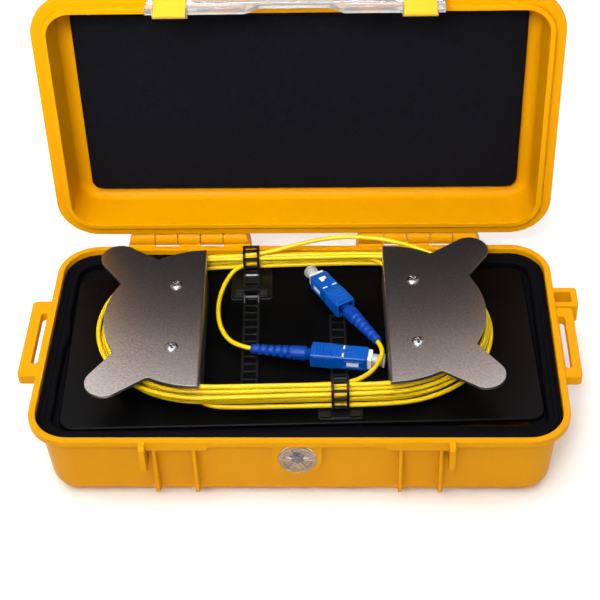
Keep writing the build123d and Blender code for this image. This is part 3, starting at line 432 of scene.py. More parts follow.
# ---- Making pieces ----
def add_piece(name, mesh, body, slot, hides=(), smooth=True):
    """A finished mesh as a piece that rides on a body and takes a slot's finish."""
    piece = bpy.data.objects.new(name, mesh)
    bpy.context.scene.collection.objects.link(piece)
    if not mesh.materials:
        mesh.materials.append(finish[slot])
    if smooth:
        mesh.shade_smooth()
    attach(piece, body)
    if hides:
        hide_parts(*hides)
    return piece


def mesh_of(work, name):
    mesh = bpy.data.meshes.new(name)
    work.to_mesh(mesh)
    work.free()
    return mesh


def modified(mesh, modifiers):
    """The mesh with modifiers applied: (kind, settings) in order."""
    holder = bpy.data.objects.new("holder", mesh)
    bpy.context.scene.collection.objects.link(holder)
    for kind, settings in modifiers:
        modifier = holder.modifiers.new(kind.lower(), kind)
        for field, value in settings.items():
            setattr(modifier, field, value)
    bpy.context.view_layer.update()
    evaluated = holder.evaluated_get(bpy.context.evaluated_depsgraph_get())
    result = bpy.data.meshes.new_from_object(evaluated)
    bpy.data.objects.remove(holder)
    return result


def rounded_path(width, depth, corner, per_corner=12, straight=10.0):
    """Points and outward directions round a rounded rectangle, anticlockwise, in millimetres."""
    path = []
    for turn in range(4):
        middle_x = (width / 2 - corner) * (1 if turn in (0, 3) else -1)
        middle_y = (depth / 2 - corner) * (1 if turn in (0, 1) else -1)
        arc = []
        for step in range(per_corner + 1):
            angle = math.radians(90 * turn + 90 * step / per_corner)
            out = Vector((math.cos(angle), math.sin(angle)))
            arc.append((Vector((middle_x, middle_y)) + out * corner, out))
        if path:
            path += straight_run(path[-1], arc[0], straight)
        path += arc
    path += straight_run(path[-1], path[0], straight)
    return path


def straight_run(a, b, step):
    count = max(1, round((b[0] - a[0]).length / step))
    return [(a[0].lerp(b[0], k / count), a[1]) for k in range(1, count)]


# ---- Leads: one smooth line each, from the anchor round both cores to the boot ----
HALF_RUN, COIL_RADIUS, COIL_SHIFT = 39.25, 42.5, 2.5
LAP = 4 * HALF_RUN + 2 * math.pi * COIL_RADIUS
PLUG_A = (6.8, -13.5, 5.1, -9.2, 0.0)  # rear of the grip on the deck, heading, tilt
PLUG_B = (22.5, 12.4, 7.4, 119.8, -2.8)


def plug_forward(plug):
    heading, tilt = math.radians(plug[3]), math.radians(plug[4])
    return Vector(
        (
            math.cos(heading) * math.cos(tilt),
            math.sin(heading) * math.cos(tilt),
            math.sin(tilt),
        )
    )


def boot_point(plug, distance):
    return tuple(Vector(plug[:3]) - plug_forward(plug) * distance)


def lap_point(along, lane, height):
    """Deck point a distance anticlockwise along the winding's middle line, from the front."""
    s = along % LAP
    arc = math.pi * COIL_RADIUS
    if s < HALF_RUN:
        x, y, angle = s, 0.0, -math.pi / 2
    elif s < HALF_RUN + arc:
        x, y, angle = HALF_RUN, 0.0, (s - HALF_RUN) / COIL_RADIUS - math.pi / 2
    elif s < 3 * HALF_RUN + arc:
        x, y, angle = 2 * HALF_RUN + arc - s, 0.0, math.pi / 2
    elif s < 3 * HALF_RUN + 2 * arc:
        x, y, angle = -HALF_RUN, 0.0, (s - 3 * HALF_RUN - arc) / COIL_RADIUS + math.pi / 2
    else:
        x, y, angle = s - LAP, 0.0, -math.pi / 2
    on_end = max(0.0, math.cos(angle)) if x >= HALF_RUN else max(0.0, -math.cos(angle))
    radius = COIL_RADIUS * 1.008 + lane * (1 + FAN * on_end) + END_SLACK * on_end
    return (
        x + radius * math.cos(angle),
        y + COIL_SHIFT + radius * math.sin(angle),
        height + 0.25 * math.sin(along / 31.0),
    )


FAN, END_SLACK = 0.5, 1.0
COIL_STEP = 19.0


def winding(first, last, lanes, loose=None):
    """Points of the turns. Each turn keeps its lane and moves on to the next one near its end,
    the last turn but one early, so that crossing turns pass over each other."""
    points = []
    count = round((last - first) / COIL_STEP)
    for k in range(1, count):
        along = first + (last - first) * k / count
        turns = (along - first) / LAP
        turn = min(int(turns), len(lanes) - 1)
        start, span = (0.08, 0.3) if turn == len(lanes) - 2 else (0.45, 0.5)
        share = min(1.0, max(0.0, (turns - turn - start) / span))
        over = math.sin(math.pi * share) if turn == len(lanes) - 2 else 0.0
        share = share * share * (3 - 2 * share)
        a, b = lanes[turn], lanes[min(turn + 1, len(lanes) - 1)]
        lane = a[0] + (b[0] - a[0]) * share + 0.15 * math.sin(along / 23.0)
        height = a[1] + (b[1] - a[1]) * share + 0.7 * over
        if loose and loose[0] < along < loose[1]:
            if loose[2]:
                points += loose[2]
                loose = (loose[0], loose[1], [])
            continue
        points.append(lap_point(along, lane, height))
    return points


REAR_START = HALF_RUN + math.pi * COIL_RADIUS + HALF_RUN  # rear side at x = 0
lead_a = (
    [
        (-44.5, 0, 6),
        (-44.2, -12, 6),
        (-44.7, -24, 4.6),
        (-43.4, -35, 3.4),
        (-36.5, -41.2, 3.1),
        (-25, -42.2, 3.2),
    ]
    + winding(
        -25, REAR_START + 16 + 3 * LAP, [(2.2, 3.5), (0.1, 4.7), (-2.1, 5.4), (1.0, 6.7)]
    )
    + [
        (-16, 45.6, 7.0),
        (-26.5, 42.2, 7.3),
        (-31.8, 33, 5.6),
        (-34.5, 20, 5.1),
        (-33.2, 4, 5.1),
        boot_point(PLUG_A, 33.2),
        boot_point(PLUG_A, 21.2),
    ]
)
LOOSE = [
    (79.8, 17.0, 12.2),
    (75.3, 28.0, 13.2),
    (68.8, 35.4, 13.8),
    (60.8, 40.8, 14.0),
    (54.2, 43.6, 15.4),
    (45.7, 45.6, 17.0),
    (37.2, 47.2, 18.0),
    (24.3, 49.0, 18.0),
    (12.0, 48.8, 17.0),
    (0.0, 47.2, 15.0),
    (-11.0, 45.4, 13.0),
    (-19.7, 44.4, 12.2),
    (-30.0, 43.8, 11.8),
]
lead_b = (
    [
        (44.5, 0, 6),
        (44.2, 12, 6.4),
        (44.7, 24, 7.4),
        (43.6, 36, 7.9),
        (36.0, 45.0, 8.2),
        (24, 46.8, 8.8),
    ]
    + winding(
        REAR_START - 24,
        11 + 4 * LAP,
        [(2.2, 9.1), (0.1, 10.3), (-2.1, 10.7), (-0.9, 12.5)],
        (REAR_START - 110 + 3 * LAP, REAR_START + 38 + 3 * LAP, LOOSE),
    )
    + [
        (11, -39.2, 12.4),
        (22.5, -38.4, 12.2),
        (31, -31.6, 10.2),
        (35.8, -23, 9.6),
        boot_point(PLUG_B, 30.7),
        boot_point(PLUG_B, 21.2),
    ]
)
LEAD_RADIUS = 0.001


def make_lead(name, points):
    curve = bpy.data.curves.new(name, "CURVE")
    curve.dimensions = "3D"
    spline = curve.splines.new("NURBS")
    spline.points.add(len(points) - 1)
    for place, point in zip(spline.points, points):
        place.co = (*on_deck(*point), 1.0)
    spline.order_u = 3
    spline.use_endpoint_u = True
    spline.resolution_u = 6
    curve.bevel_depth = LEAD_RADIUS
    curve.bevel_resolution = 4
    curve.use_fill_caps = True
    curve.materials.append(finish["lead_jacket"])
    lead = bpy.data.objects.new(name, curve)
    bpy.context.scene.collection.objects.link(lead)
    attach(lead, "base")
    return lead


lead_a_line = make_lead("lead_a_line", lead_a)
lead_b_line = make_lead("lead_b_line", lead_b)
# ---- Node trees for what repeats or follows a path ----
def geometry_tree(name, inputs):
    """A new tree with named inputs, its input sockets and a way to end it."""
    tree = bpy.data.node_groups.new(name, "GeometryNodeTree")
    kinds = {
        float: "NodeSocketFloat",
        int: "NodeSocketInt",
        tuple: "NodeSocketVector",
        type(None): "NodeSocketMaterial",
    }
    tree.interface.new_socket(
        name="Geometry", in_out="INPUT", socket_type="NodeSocketGeometry"
    )
    for label, value in {**inputs, "Material": None}.items():
        socket = tree.interface.new_socket(
            name=label, in_out="INPUT", socket_type=kinds[type(value)]
        )
        if value is not None:
            socket.default_value = value
    tree.interface.new_socket(
        name="Geometry", in_out="OUTPUT", socket_type="NodeSocketGeometry"
    )
    return tree, tree.nodes.new("NodeGroupInput").outputs


def end_tree(tree, given, geometry):
    real = wire(tree, "GeometryNodeRealizeInstances", {"Geometry": geometry})
    painted = wire(
        tree,
        "GeometryNodeSetMaterial",
        {"Geometry": real.outputs[0], "Material": given["Material"]},
    )
    end = tree.nodes.new("NodeGroupOutput")
    tree.links.new(painted.outputs[0], end.inputs["Geometry"])
    return tree


def grown(name, tree, base, values):
    """The plain mesh that a tree makes from a base mesh and the values of its inputs."""
    holder = bpy.data.objects.new("holder", base)
    bpy.context.scene.collection.objects.link(holder)
    modifier = holder.modifiers.new("grow", "NODES")
    modifier.node_group = tree
    for item in tree.interface.items_tree:
        if item.in_out == "INPUT" and item.name in values:
            modifier[item.identifier] = values[item.name]
    bpy.context.view_layer.update()
    evaluated = holder.evaluated_get(bpy.context.evaluated_depsgraph_get())
    mesh = bpy.data.meshes.new_from_object(evaluated)
    mesh.name = name
    bpy.data.objects.remove(holder)
    return mesh


def line_mesh(points):
    mesh = bpy.data.meshes.new("line")
    mesh.from_pydata(points, [(k, k + 1) for k in range(len(points) - 1)], [])
    return mesh


def ladder_tree():
    """Two rails along a line with rungs between them."""
    tree, given = geometry_tree(
        "ladder_strap",
        {
            "Width": 0.0074,
            "Rail Width": 0.0011,
            "Thickness": 0.0011,
            "Rung Pitch": 0.0046,
            "Rung Width": 0.0009,
            "Bend Radius": 0.0016,
            "Sideways": (1.0, 0.0, 0.0),
        },
    )
    raw = wire(tree, "GeometryNodeMeshToCurve", {"Mesh": given["Geometry"]})
    line = wire(
        tree,
        "GeometryNodeFilletCurve",
        {"Curve": raw.outputs[0], "Radius": given["Bend Radius"], "Count": 5, "Limit Radius": True},
        mode="POLY",
    )
    across = wire(
        tree, "ShaderNodeMath", {0: given["Width"], 1: given["Rail Width"]}, operation="SUBTRACT"
    )
    rail_section = wire(
        tree,
        "GeometryNodeCurvePrimitiveQuadrilateral",
        {"Width": given["Rail Width"], "Height": given["Thickness"]},
    )
    join = tree.nodes.new("GeometryNodeJoinGeometry")
    for side in (-0.5, 0.5):
        reach = wire(tree, "ShaderNodeMath", {0: across.outputs[0], 1: side}, operation="MULTIPLY")
        shift = wire(
            tree, "ShaderNodeVectorMath", {0: given["Sideways"], "Scale": reach.outputs[0]},
            operation="SCALE",
        )
        moved = wire(
            tree, "GeometryNodeSetPosition",
            {"Geometry": line.outputs[0], "Offset": shift.outputs[0]},
        )
        rail = wire(
            tree,
            "GeometryNodeCurveToMesh",
            {
                "Curve": moved.outputs[0],
                "Profile Curve": rail_section.outputs[0],
                "Fill Caps": True,
            },
        )
        tree.links.new(rail.outputs[0], join.inputs[0])
    spots = wire(
        tree,
        "GeometryNodeCurveToPoints",
        {"Curve": line.outputs[0], "Length": given["Rung Pitch"]},
        mode="LENGTH",
    )
    first = wire(
        tree, "FunctionNodeAlignRotationToVector", {"Vector": given["Sideways"]}, axis="X"
    )
    facing = wire(
        tree,
        "FunctionNodeAlignRotationToVector",
        {"Rotation": first.outputs[0], "Vector": spots.outputs["Tangent"]},
        axis="Y",
        pivot_axis="X",
    )
    rung_size = wire(
        tree,
        "ShaderNodeCombineXYZ",
        {"X": across.outputs[0], "Y": given["Rung Width"], "Z": given["Thickness"]},
    )
    rung = wire(tree, "GeometryNodeMeshCube", {"Size": rung_size.outputs[0]})
    rungs = wire(
        tree,
        "GeometryNodeInstanceOnPoints",
        {
            "Points": spots.outputs["Points"],
            "Instance": rung.outputs["Mesh"],
            "Rotation": facing.outputs[0],
        },
    )
    tree.links.new(rungs.outputs[0], join.inputs[0])
    return end_tree(tree, given, join.outputs[0])


def bead_tree():
    """A round bead that follows a rounded rectangle."""
    tree, given = geometry_tree(
        "rim_bead",
        {"Width": 0.2, "Depth": 0.1, "Corner": 0.01, "Bead Radius": 0.0004, "Height": 0.0},
    )
    outline = wire(
        tree,
        "GeometryNodeCurvePrimitiveQuadrilateral",
        {"Width": given["Width"], "Height": given["Depth"]},
    )
    rounded = wire(
        tree,
        "GeometryNodeFilletCurve",
        {"Curve": outline.outputs[0], "Radius": given["Corner"], "Count": 14},
        mode="POLY",
    )
    section = wire(
        tree, "GeometryNodeCurvePrimitiveCircle", {"Resolution": 10, "Radius": given["Bead Radius"]}
    )
    bead = wire(
        tree,
        "GeometryNodeCurveToMesh",
        {"Curve": rounded.outputs[0], "Profile Curve": section.outputs[0]},
    )
    height = wire(tree, "ShaderNodeCombineXYZ", {"Z": given["Height"]})
    lifted = wire(
        tree, "GeometryNodeSetPosition", {"Geometry": bead.outputs[0], "Offset": height.outputs[0]}
    )
    return end_tree(tree, given, lifted.outputs[0])


def ridge_tree():
    """A row of half-round ridges along X."""
    tree, given = geometry_tree(
        "ridge_row", {"Count": 6, "Pitch": 0.0011, "Ridge Length": 0.007, "Ridge Radius": 0.0003}
    )
    step = wire(tree, "ShaderNodeCombineXYZ", {"X": given["Pitch"]})
    row = wire(
        tree, "GeometryNodeMeshLine", {"Count": given["Count"], "Offset": step.outputs[0]}
    )
    ridge = wire(
        tree,
        "GeometryNodeMeshCylinder",
        {"Vertices": 10, "Radius": given["Ridge Radius"], "Depth": given["Ridge Length"]},
    )
    laid = wire(
        tree,
        "GeometryNodeInstanceOnPoints",
        {
            "Points": row.outputs[0],
            "Instance": ridge.outputs["Mesh"],
            "Rotation": (math.pi / 2, 0.0, 0.0),
        },
    )
    return end_tree(tree, given, laid.outputs[0])


def screw_tree():
    """Low pan-head screws with a cross recess, one on each point, turned by its attribute."""
    tree, given = geometry_tree(
        "pan_head_screws",
        {
            "Head Radius": 0.0029,
            "Head Height": 0.0012,
            "Recess Length": 0.0036,
            "Recess Width": 0.00095,
            "Recess Depth": 0.001,
            "Shank Radius": 0.0015,
            "Shank Length": 0.012,
        },
    )
    dome = wire(tree, "GeometryNodeMeshUVSphere", {"Segments": 36, "Rings": 18, "Radius": 1.0})
    squash = wire(
        tree,
        "ShaderNodeCombineXYZ",
        {"X": given["Head Radius"], "Y": given["Head Radius"], "Z": given["Head Height"]},
    )
    head = wire(
        tree,
        "GeometryNodeTransform",
        {"Geometry": dome.outputs["Mesh"], "Scale": squash.outputs[0]},
    )
    deep = wire(tree, "ShaderNodeMath", {0: given["Recess Depth"], 1: 2.0}, operation="MULTIPLY")
    cutters = tree.nodes.new("GeometryNodeJoinGeometry")
    up = wire(tree, "ShaderNodeCombineXYZ", {"Z": given["Head Height"]})
    for flip in (False, True):
        size = wire(
            tree,
            "ShaderNodeCombineXYZ",
            {
                "X": given["Recess Width" if flip else "Recess Length"],
                "Y": given["Recess Length" if flip else "Recess Width"],
                "Z": deep.outputs[0],
            },
        )
        bar = wire(tree, "GeometryNodeMeshCube", {"Size": size.outputs[0]})
        placed = wire(
            tree,
            "GeometryNodeTransform",
            {"Geometry": bar.outputs["Mesh"], "Translation": up.outputs[0]},
        )
        tree.links.new(placed.outputs[0], cutters.inputs[0])
    low_size = wire(tree, "ShaderNodeMath", {0: given["Head Radius"], 1: 3.0}, operation="MULTIPLY")
    low_box = wire(
        tree,
        "ShaderNodeCombineXYZ",
        {"X": low_size.outputs[0], "Y": low_size.outputs[0], "Z": given["Head Height"]},
    )
    below = wire(tree, "GeometryNodeMeshCube", {"Size": low_box.outputs[0]})
    half = wire(tree, "ShaderNodeMath", {0: given["Head Height"], 1: -0.5}, operation="MULTIPLY")
    down = wire(tree, "ShaderNodeCombineXYZ", {"Z": half.outputs[0]})
    under = wire(
        tree,
        "GeometryNodeTransform",
        {"Geometry": below.outputs["Mesh"], "Translation": down.outputs[0]},
    )
    tree.links.new(under.outputs[0], cutters.inputs[0])
    cut = wire(tree, "GeometryNodeMeshBoolean", {"Mesh 1": head.outputs[0], "Self Intersection": True},
               operation="DIFFERENCE", solver="EXACT")
    tree.links.new(cutters.outputs[0], cut.inputs["Mesh 2"])
    shank = wire(
        tree,
        "GeometryNodeMeshCylinder",
        {"Vertices": 24, "Radius": given["Shank Radius"], "Depth": given["Shank Length"]},
    )
    drop = wire(tree, "ShaderNodeMath", {0: given["Shank Length"], 1: -0.495}, operation="MULTIPLY")
    drop_by = wire(tree, "ShaderNodeCombineXYZ", {"Z": drop.outputs[0]})
    lowered = wire(
        tree,
        "GeometryNodeTransform",
        {"Geometry": shank.outputs["Mesh"], "Translation": drop_by.outputs[0]},
    )
    screw = tree.nodes.new("GeometryNodeJoinGeometry")
    tree.links.new(cut.outputs[0], screw.inputs[0])
    tree.links.new(lowered.outputs[0], screw.inputs[0])
    turn = wire(tree, "GeometryNodeInputNamedAttribute", {"Name": "turn"}, data_type="FLOAT")
    about = wire(tree, "ShaderNodeCombineXYZ", {"Z": turn.outputs["Attribute"]})
    set_in = wire(
        tree,
        "GeometryNodeInstanceOnPoints",
        {
            "Points": given["Geometry"],
            "Instance": screw.outputs[0],
            "Rotation": about.outputs[0],
        },
    )
    return end_tree(tree, given, set_in.outputs[0])


def turns_tree():
    """A strand wound side by side on a drum."""
    tree, given = geometry_tree(
        "drum_turns",
        {"Turns": 20.0, "Drum Radius": 0.04, "Height": 0.018, "Strand Radius": 0.00045},
    )
    helix = wire(
        tree,
        "GeometryNodeCurveSpiral",
        {
            "Resolution": 48,
            "Rotations": given["Turns"],
            "Start Radius": given["Drum Radius"],
            "End Radius": given["Drum Radius"],
            "Height": given["Height"],
        },
    )
    section = wire(
        tree, "GeometryNodeCurvePrimitiveCircle", {"Resolution": 6, "Radius": given["Strand Radius"]}
    )
    strand = wire(
        tree,
        "GeometryNodeCurveToMesh",
        {"Curve": helix.outputs[0], "Profile Curve": section.outputs[0], "Fill Caps": True},
    )
    return end_tree(tree, given, strand.outputs[0])


# ---- Ladder straps ----
LADDER = ladder_tree()
sideways = tuple(on_deck(1, 0, 0) - on_deck(0, 0, 0))
sideways = tuple(Vector(sideways).normalized())
for place, x, side, reach, base_y in (
    ("rear", -19.7, 1, 28.3, 37.0),
    ("front", 18.6, -1, 15.0, -37.8),
):
    middle = COIL_SHIFT + side * COIL_RADIUS
    near, far = middle - side * 3.95, middle + side * 3.95
    edge = base_y - side * 9.5
    route = [
        (near, 1.7), (far, 1.7), (far, 14.2), (near, 14.2), (near, 2.9),
        (edge, 2.9), (edge - side * 3, 0.65), (-side * reach, 0.65),
    ]
    strap = grown(
        f"ladder_strap_{place}",
        LADDER,
        line_mesh([on_deck(x, y, z) for y, z in route]),
        {"Sideways": sideways, "Material": finish["strap_plastic"]},
    )
    hidden = [f"cable_strap_{place}"]
    add_piece(f"ladder_strap_{place}", strap, "base", "strap_plastic", hidden, False)


# ---- Screws of the brackets ----
spots = bpy.data.meshes.new("screw_spots")
spots.from_pydata([on_deck(x, y, BRACKET_TOP) for x, y in SCREWS], [], [])
turned = spots.attributes.new("turn", "FLOAT", "POINT")
for k, value in enumerate((0.35, 1.0, 0.1, 0.65)):
    turned.data[k].value = value
screws = grown("bracket_screw_set", screw_tree(), spots, {"Material": finish["steel"]})
add_piece("bracket_screw_set", screws, "base", "steel", ["bracket_screws"], False)


# ---- Liner: grooved rim, wavy inner lip, skirt and shelf, with a sealing bead ----
LINER_EDGE = 0.1
LINER_SECTION = [  # distance in from the rim groove's wall, height, share of the wave
    (0.0, 37.5, 0), (0.0, 38.35, 0), (0.3, 38.7, 0), (1.3, 38.75, 0), (1.5, 38.3, 0),
    (1.9, 38.3, 0), (2.1, 38.75, 0), (3.4, 38.75, 0), (3.6, 38.35, 0), (3.9, 38.35, 0),
    (4.1, 38.7, 0.1), (5.1, 38.65, 0.4), (5.8, 38.4, 0.9), (6.2, 37.8, 1), (6.2, 37.0, 1),
    (6.3, 36.7, 0.5), (6.4, 35.6, 0), (6.4, 34.5, 0), (12.4, 34.5, 0), (12.4, 32.0, 0),
    (6.4, 32.0, 0), (6.4, 28.6, 0), (4.9, 28.6, 0), (4.9, 37.5, 0),
]


def lip_wave(point):
    """How far the soft lip bulges in: most on the left, a little along the front."""
    x, y = point
    swell = 0.0
    if x < -95:
        swell = 1.5 * max(0.0, math.sin(y / 7.2 + 0.6)) ** 1.5 * max(0.0, 1 - abs(y) / 58)
    if y < -45:
        swell += 0.9 * max(0.0, math.sin(x / 13.0 + 1.1)) ** 2 * max(0.0, 1 - abs(x) / 98)
    if y > 45 or x > 95:
        swell += 0.25 * max(0.0, math.sin((x + y) / 11.0))
    return swell


path = rounded_path(
    CASE[0] - 2 * RIM_LAND - 2 * LINER_EDGE,
    CASE[1] - 2 * RIM_LAND - 2 * LINER_EDGE,
    CASE[2] - RIM_LAND - LINER_EDGE,
    10,
    3.0,
)


liner = bmesh.new()
rings = []
for point, out in path:
    wave = lip_wave(point)
    ring = []
    for distance, height, share in LINER_SECTION:
        flat = point - out * (distance + wave * share)
        ring.append(liner.verts.new(metres(flat.x, flat.y, height)))
    rings.append(ring)
for ring, following in zip(rings, rings[1:] + rings[:1]):
    for k in range(len(ring)):
        n = (k + 1) % len(ring)
        liner.faces.new((ring[k], following[k], following[n], ring[n]))
bmesh.ops.recalc_face_normals(liner, faces=liner.faces)
liner_mesh = modified(
    mesh_of(liner, "liner_moulding"),
    [("BEVEL", {"width": 0.00012, "segments": 2, "limit_method": "ANGLE", "angle_limit": 0.5})],
)
add_piece("liner_moulding", liner_mesh, "base", "liner_rubber", ["base_liner"])
BEAD_INSET = 2.7
bead = grown(
    "liner_bead",
    bead_tree(),
    line_mesh([(0, 0, 0), (0, 0, 0.001)]),
    {
        "Width": (CASE[0] - 2 * RIM_LAND - 2 * BEAD_INSET) / 1000,
        "Depth": (CASE[1] - 2 * RIM_LAND - 2 * BEAD_INSET) / 1000,
        "Corner": (CASE[2] - RIM_LAND - BEAD_INSET) / 1000,
        "Bead Radius": 0.0004,
        "Height": 0.03825,
        "Material": finish["liner_rubber"],
    },
)
add_piece("liner_bead", bead, "base", "liner_rubber")


# ---- Foam pad in the lid ----
PAD_RINGS = [  # depth in from the edge, height, share of the way to the middle
    (0.0, 60.2, 0), (0.0, 57.7, 0), (0.15, 57.2, 0), (0.5, 56.85, 0), (1.1, 56.7, 0),
    (2.4, 56.66, 0), (4.2, 56.7, 0), (4.2, 56.7, 0.08), (4.2, 56.7, 0.2), (4.2, 56.7, 0.35),
    (4.2, 56.7, 0.5), (4.2, 56.7, 0.65), (4.2, 56.7, 0.8), (4.2, 56.7, 0.92),
]
pad = bmesh.new()
outline = rounded_path(196.0, 95.0, 5.0, 6, 4.0)
rings = []
for depth, height, share in PAD_RINGS:
    ring = []
    for point, out in outline:
        flat = (point - out * depth) * (1 - share)
        lift = 0.12 * noise.noise(Vector((flat.x * 0.05, flat.y * 0.05, 3.0))) if depth > 1 else 0
        ring.append(pad.verts.new(on_lid(flat.x, flat.y, height + lift)))
    rings.append(ring)
for ring, following in zip(rings, rings[1:]):
    for k in range(len(ring)):
        n = (k + 1) % len(ring)
        pad.faces.new((ring[k], ring[n], following[n], following[k]))
pad.faces.new(rings[0])
pad.faces.new(rings[-1])
bmesh.ops.recalc_face_normals(pad, faces=pad.faces)
pad_piece = add_piece("lid_foam_pad", mesh_of(pad, "lid_foam_pad"), "lid", "pad_foam", ["lid_pad"])


# ---- Connectors ----
RIDGES = ridge_tree()


def plug_frame(plug):
    """Turns connector millimetres (forward, sideways, up) into the shared frame."""
    forward = plug_forward(plug)
    heading = math.radians(plug[3])
    across = Vector((-math.sin(heading), math.cos(heading), 0))
    deck_turn = Matrix.Rotation(DECK_TURN, 3, "Z")
    forward, across = deck_turn @ forward, deck_turn @ across
    turn = Matrix((forward, across, forward.cross(across))).transposed().to_4x4()
    return Matrix.Translation(on_deck(*plug[:3])) @ turn @ Matrix.Scale(0.001, 4)


def rounded_ring(width, height, corner, per_corner=5):
    """Corners of a rounded rectangle in the plane across a connector."""
    return [
        (point.x, point.y) for point, _ in rounded_path(width, height, corner, per_corner, 99.0)
    ]


def lofted(work, sections, close=False, caps=False):
    """Skin rings (position, points) along X; close joins the last ring to the first."""
    rings = [[work.verts.new((x, y, z)) for y, z in points] for x, points in sections]
    pairs = list(zip(rings, rings[1:])) + ([(rings[-1], rings[0])] if close else [])
    for ring, following in pairs:
        for k in range(len(ring)):
            n = (k + 1) % len(ring)
            work.faces.new((ring[k], ring[n], following[n], following[k]))
    if caps:
        work.faces.new(rings[0])
        work.faces.new(rings[-1])


def slab(work, low, high, corner, material=0):
    """A small block with softened edges."""
    made = bmesh.ops.create_cube(work, size=1.0)["verts"]
    for vert in made:
        vert.co = Vector(
            (low[axis] if vert.co[axis] < 0 else high[axis]) for axis in range(3)
        )
    edges = list(dict.fromkeys(edge for vert in made for edge in vert.link_edges))
    soft = bmesh.ops.bevel(work, geom=edges, offset=corner, segments=2, affect="EDGES")
    for face in {face for vert in soft["verts"] for face in vert.link_faces}:
        face.material_index = material


GRIP_SECTIONS = [  # position, width, height, corner
    (0.0, 8.2, 6.6, 0.6), (0.4, 8.9, 7.3, 0.9), (10.6, 8.9, 7.3, 0.9), (11.1, 8.5, 6.9, 0.8),
    (23.6, 8.5, 6.9, 0.8), (24.5, 7.9, 6.3, 0.6), (24.5, 7.2, 5.8, 0.4), (23.0, 7.1, 5.7, 0.4),
    (1.0, 7.1, 5.7, 0.4), (0.0, 7.3, 5.9, 0.4),
]
GRIP_RIDGES = (2.4, 6, 1.45)  # first ridge, how many, pitch
BOOT_START, BOOT_END = -26.2, -2.2


def boot_radius(x, angle):
    """A taper with slots cut by turns from the top and from below."""
    share = (x - BOOT_START) / (BOOT_END - BOOT_START)
    radius = 1.95 + 1.25 * min(1.0, share * 1.12)
    for k in range(11):
        centre = BOOT_START + 2.6 + 1.55 * k
        facing = math.sin(angle) * (1 if k % 2 else -1)
        if abs(x - centre) < 0.35 and facing > 0.0:
            radius -= 1.0
    return radius


def build_connector(key, plug):
    place = plug_frame(plug)
    shell = bmesh.new()
    lofted(
        shell,
        [(x, rounded_ring(w, h, r)) for x, w, h, r in GRIP_SECTIONS],
        close=True,
    )
    bmesh.ops.recalc_face_normals(shell, faces=shell.faces)
    for up in (-1, 1):
        bottom, top = sorted((up * 3.3, up * 3.75))
        slab(shell, (12.6, -0.35, bottom), (18.4, 0.35, top), 0.12)
        mark_low, mark_high = sorted((up * 3.2, up * 3.5))
        for across in (-1, 1):
            inner, outer = sorted((across * 1.3, across * 3.5))
            slab(shell, (13.6, inner, mark_low), (14.3, outer, mark_high), 0.03, 1)
    for across in (-1, 1):
        inner, outer = sorted((across * 4.0, across * 4.3))
        slab(shell, (15.6, inner, -1.2), (21.0, outer, 1.2), 0.1, 1)
        inner, outer = sorted((across * 4.1, across * 4.65))
        slab(shell, (14.6, inner, -1.9), (22.6, outer, -1.3), 0.15)
        slab(shell, (14.6, inner, 1.3), (22.6, outer, 1.9), 0.15)
    if key == "b":
        slab(shell, (19.4, -1.6, 3.2), (21.2, 1.6, 3.52), 0.03, 1)
        slab(shell, (18.2, -0.2, 3.2), (19.6, 1.6, 3.52), 0.03, 1)
    first, count, pitch = GRIP_RIDGES
    for angle, reach, length in (
        (0, 3.6, 7.2), (math.pi, 3.6, 7.2), (math.pi / 2, 4.4, 5.4), (-math.pi / 2, 4.4, 5.4)
    ):
        row = grown(
            "row",
            RIDGES,
            line_mesh([(0, 0, 0), (0, 0, 1)]),
            {
                "Count": count,
                "Pitch": pitch,
                "Ridge Length": length,
                "Ridge Radius": 0.42,
                "Material": finish["connector_blue"],
            },
        )
        for face in row.polygons:
            face.material_index = 0
        row.transform(
            Matrix.Rotation(angle, 4, "X") @ Matrix.Translation((first, 0, reach))
        )
        shell.from_mesh(row)
    mesh = mesh_of(shell, f"grip_{key}_shell")
    mesh.materials.append(finish["connector_blue"])
    mesh.materials.append(finish["connector_white"])
    mesh.transform(place)
    hidden = [f"connector_{key}_grip"]
    add_piece(f"grip_{key}_shell", mesh, f"grip_{key}", "connector_blue", hidden, False)

    boot = bmesh.new()
    sides = 40
    stations = [BOOT_START, BOOT_START + 0.25]
    for k in range(11):
        centre = BOOT_START + 2.6 + 1.55 * k
        stations += [centre - 0.42, centre - 0.34, centre + 0.34, centre + 0.42]
    stations += [BOOT_END - 0.4, BOOT_END, BOOT_END + 0.05, 6.0]
    sections = []
    for k, x in enumerate(stations):
        points = []
        for n in range(sides):
            angle = 2 * math.pi * n / sides
            radius = boot_radius(x, angle) if x <= BOOT_END else 2.6
            if k == 0:
                radius -= 0.25
            points.append((radius * math.cos(angle), radius * math.sin(angle)))
        sections.append((x, points))
    mouth = [
        (1.08 * math.cos(2 * math.pi * n / sides), 1.08 * math.sin(2 * math.pi * n / sides))
        for n in range(sides)
    ]
    sections = [(BOOT_START + 7.0, mouth), (BOOT_START, mouth), *sections]
    lofted(boot, sections, caps=True)
    bmesh.ops.recalc_face_normals(boot, faces=boot.faces)
    mesh = mesh_of(boot, f"boot_{key}_ribbed")
    mesh.transform(place)
    add_piece(f"boot_{key}_ribbed", mesh, "base", "boot_blue", [f"connector_{key}_boot"])


build_connector("a", PLUG_A)
build_connector("b", PLUG_B)


# ---- Wound fibre on the reel, and the soft blocks ----
fibre = grown(
    "fibre_turns",
    turns_tree(),
    line_mesh([(0, 0, 0), (0, 0, 0.001)]),
    {
        "Turns": 20.0,
        "Drum Radius": 0.0415,
        "Height": 0.0176,
        "Strand Radius": 0.00046,
        "Material": finish["fibre_glass"],
    },
)
low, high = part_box("fibre_winding")
fibre.transform(Matrix.Translation((0, 0, low.z + 0.0006)))
add_piece("fibre_turns", fibre, "base", "fibre_glass", ["fibre_winding"])


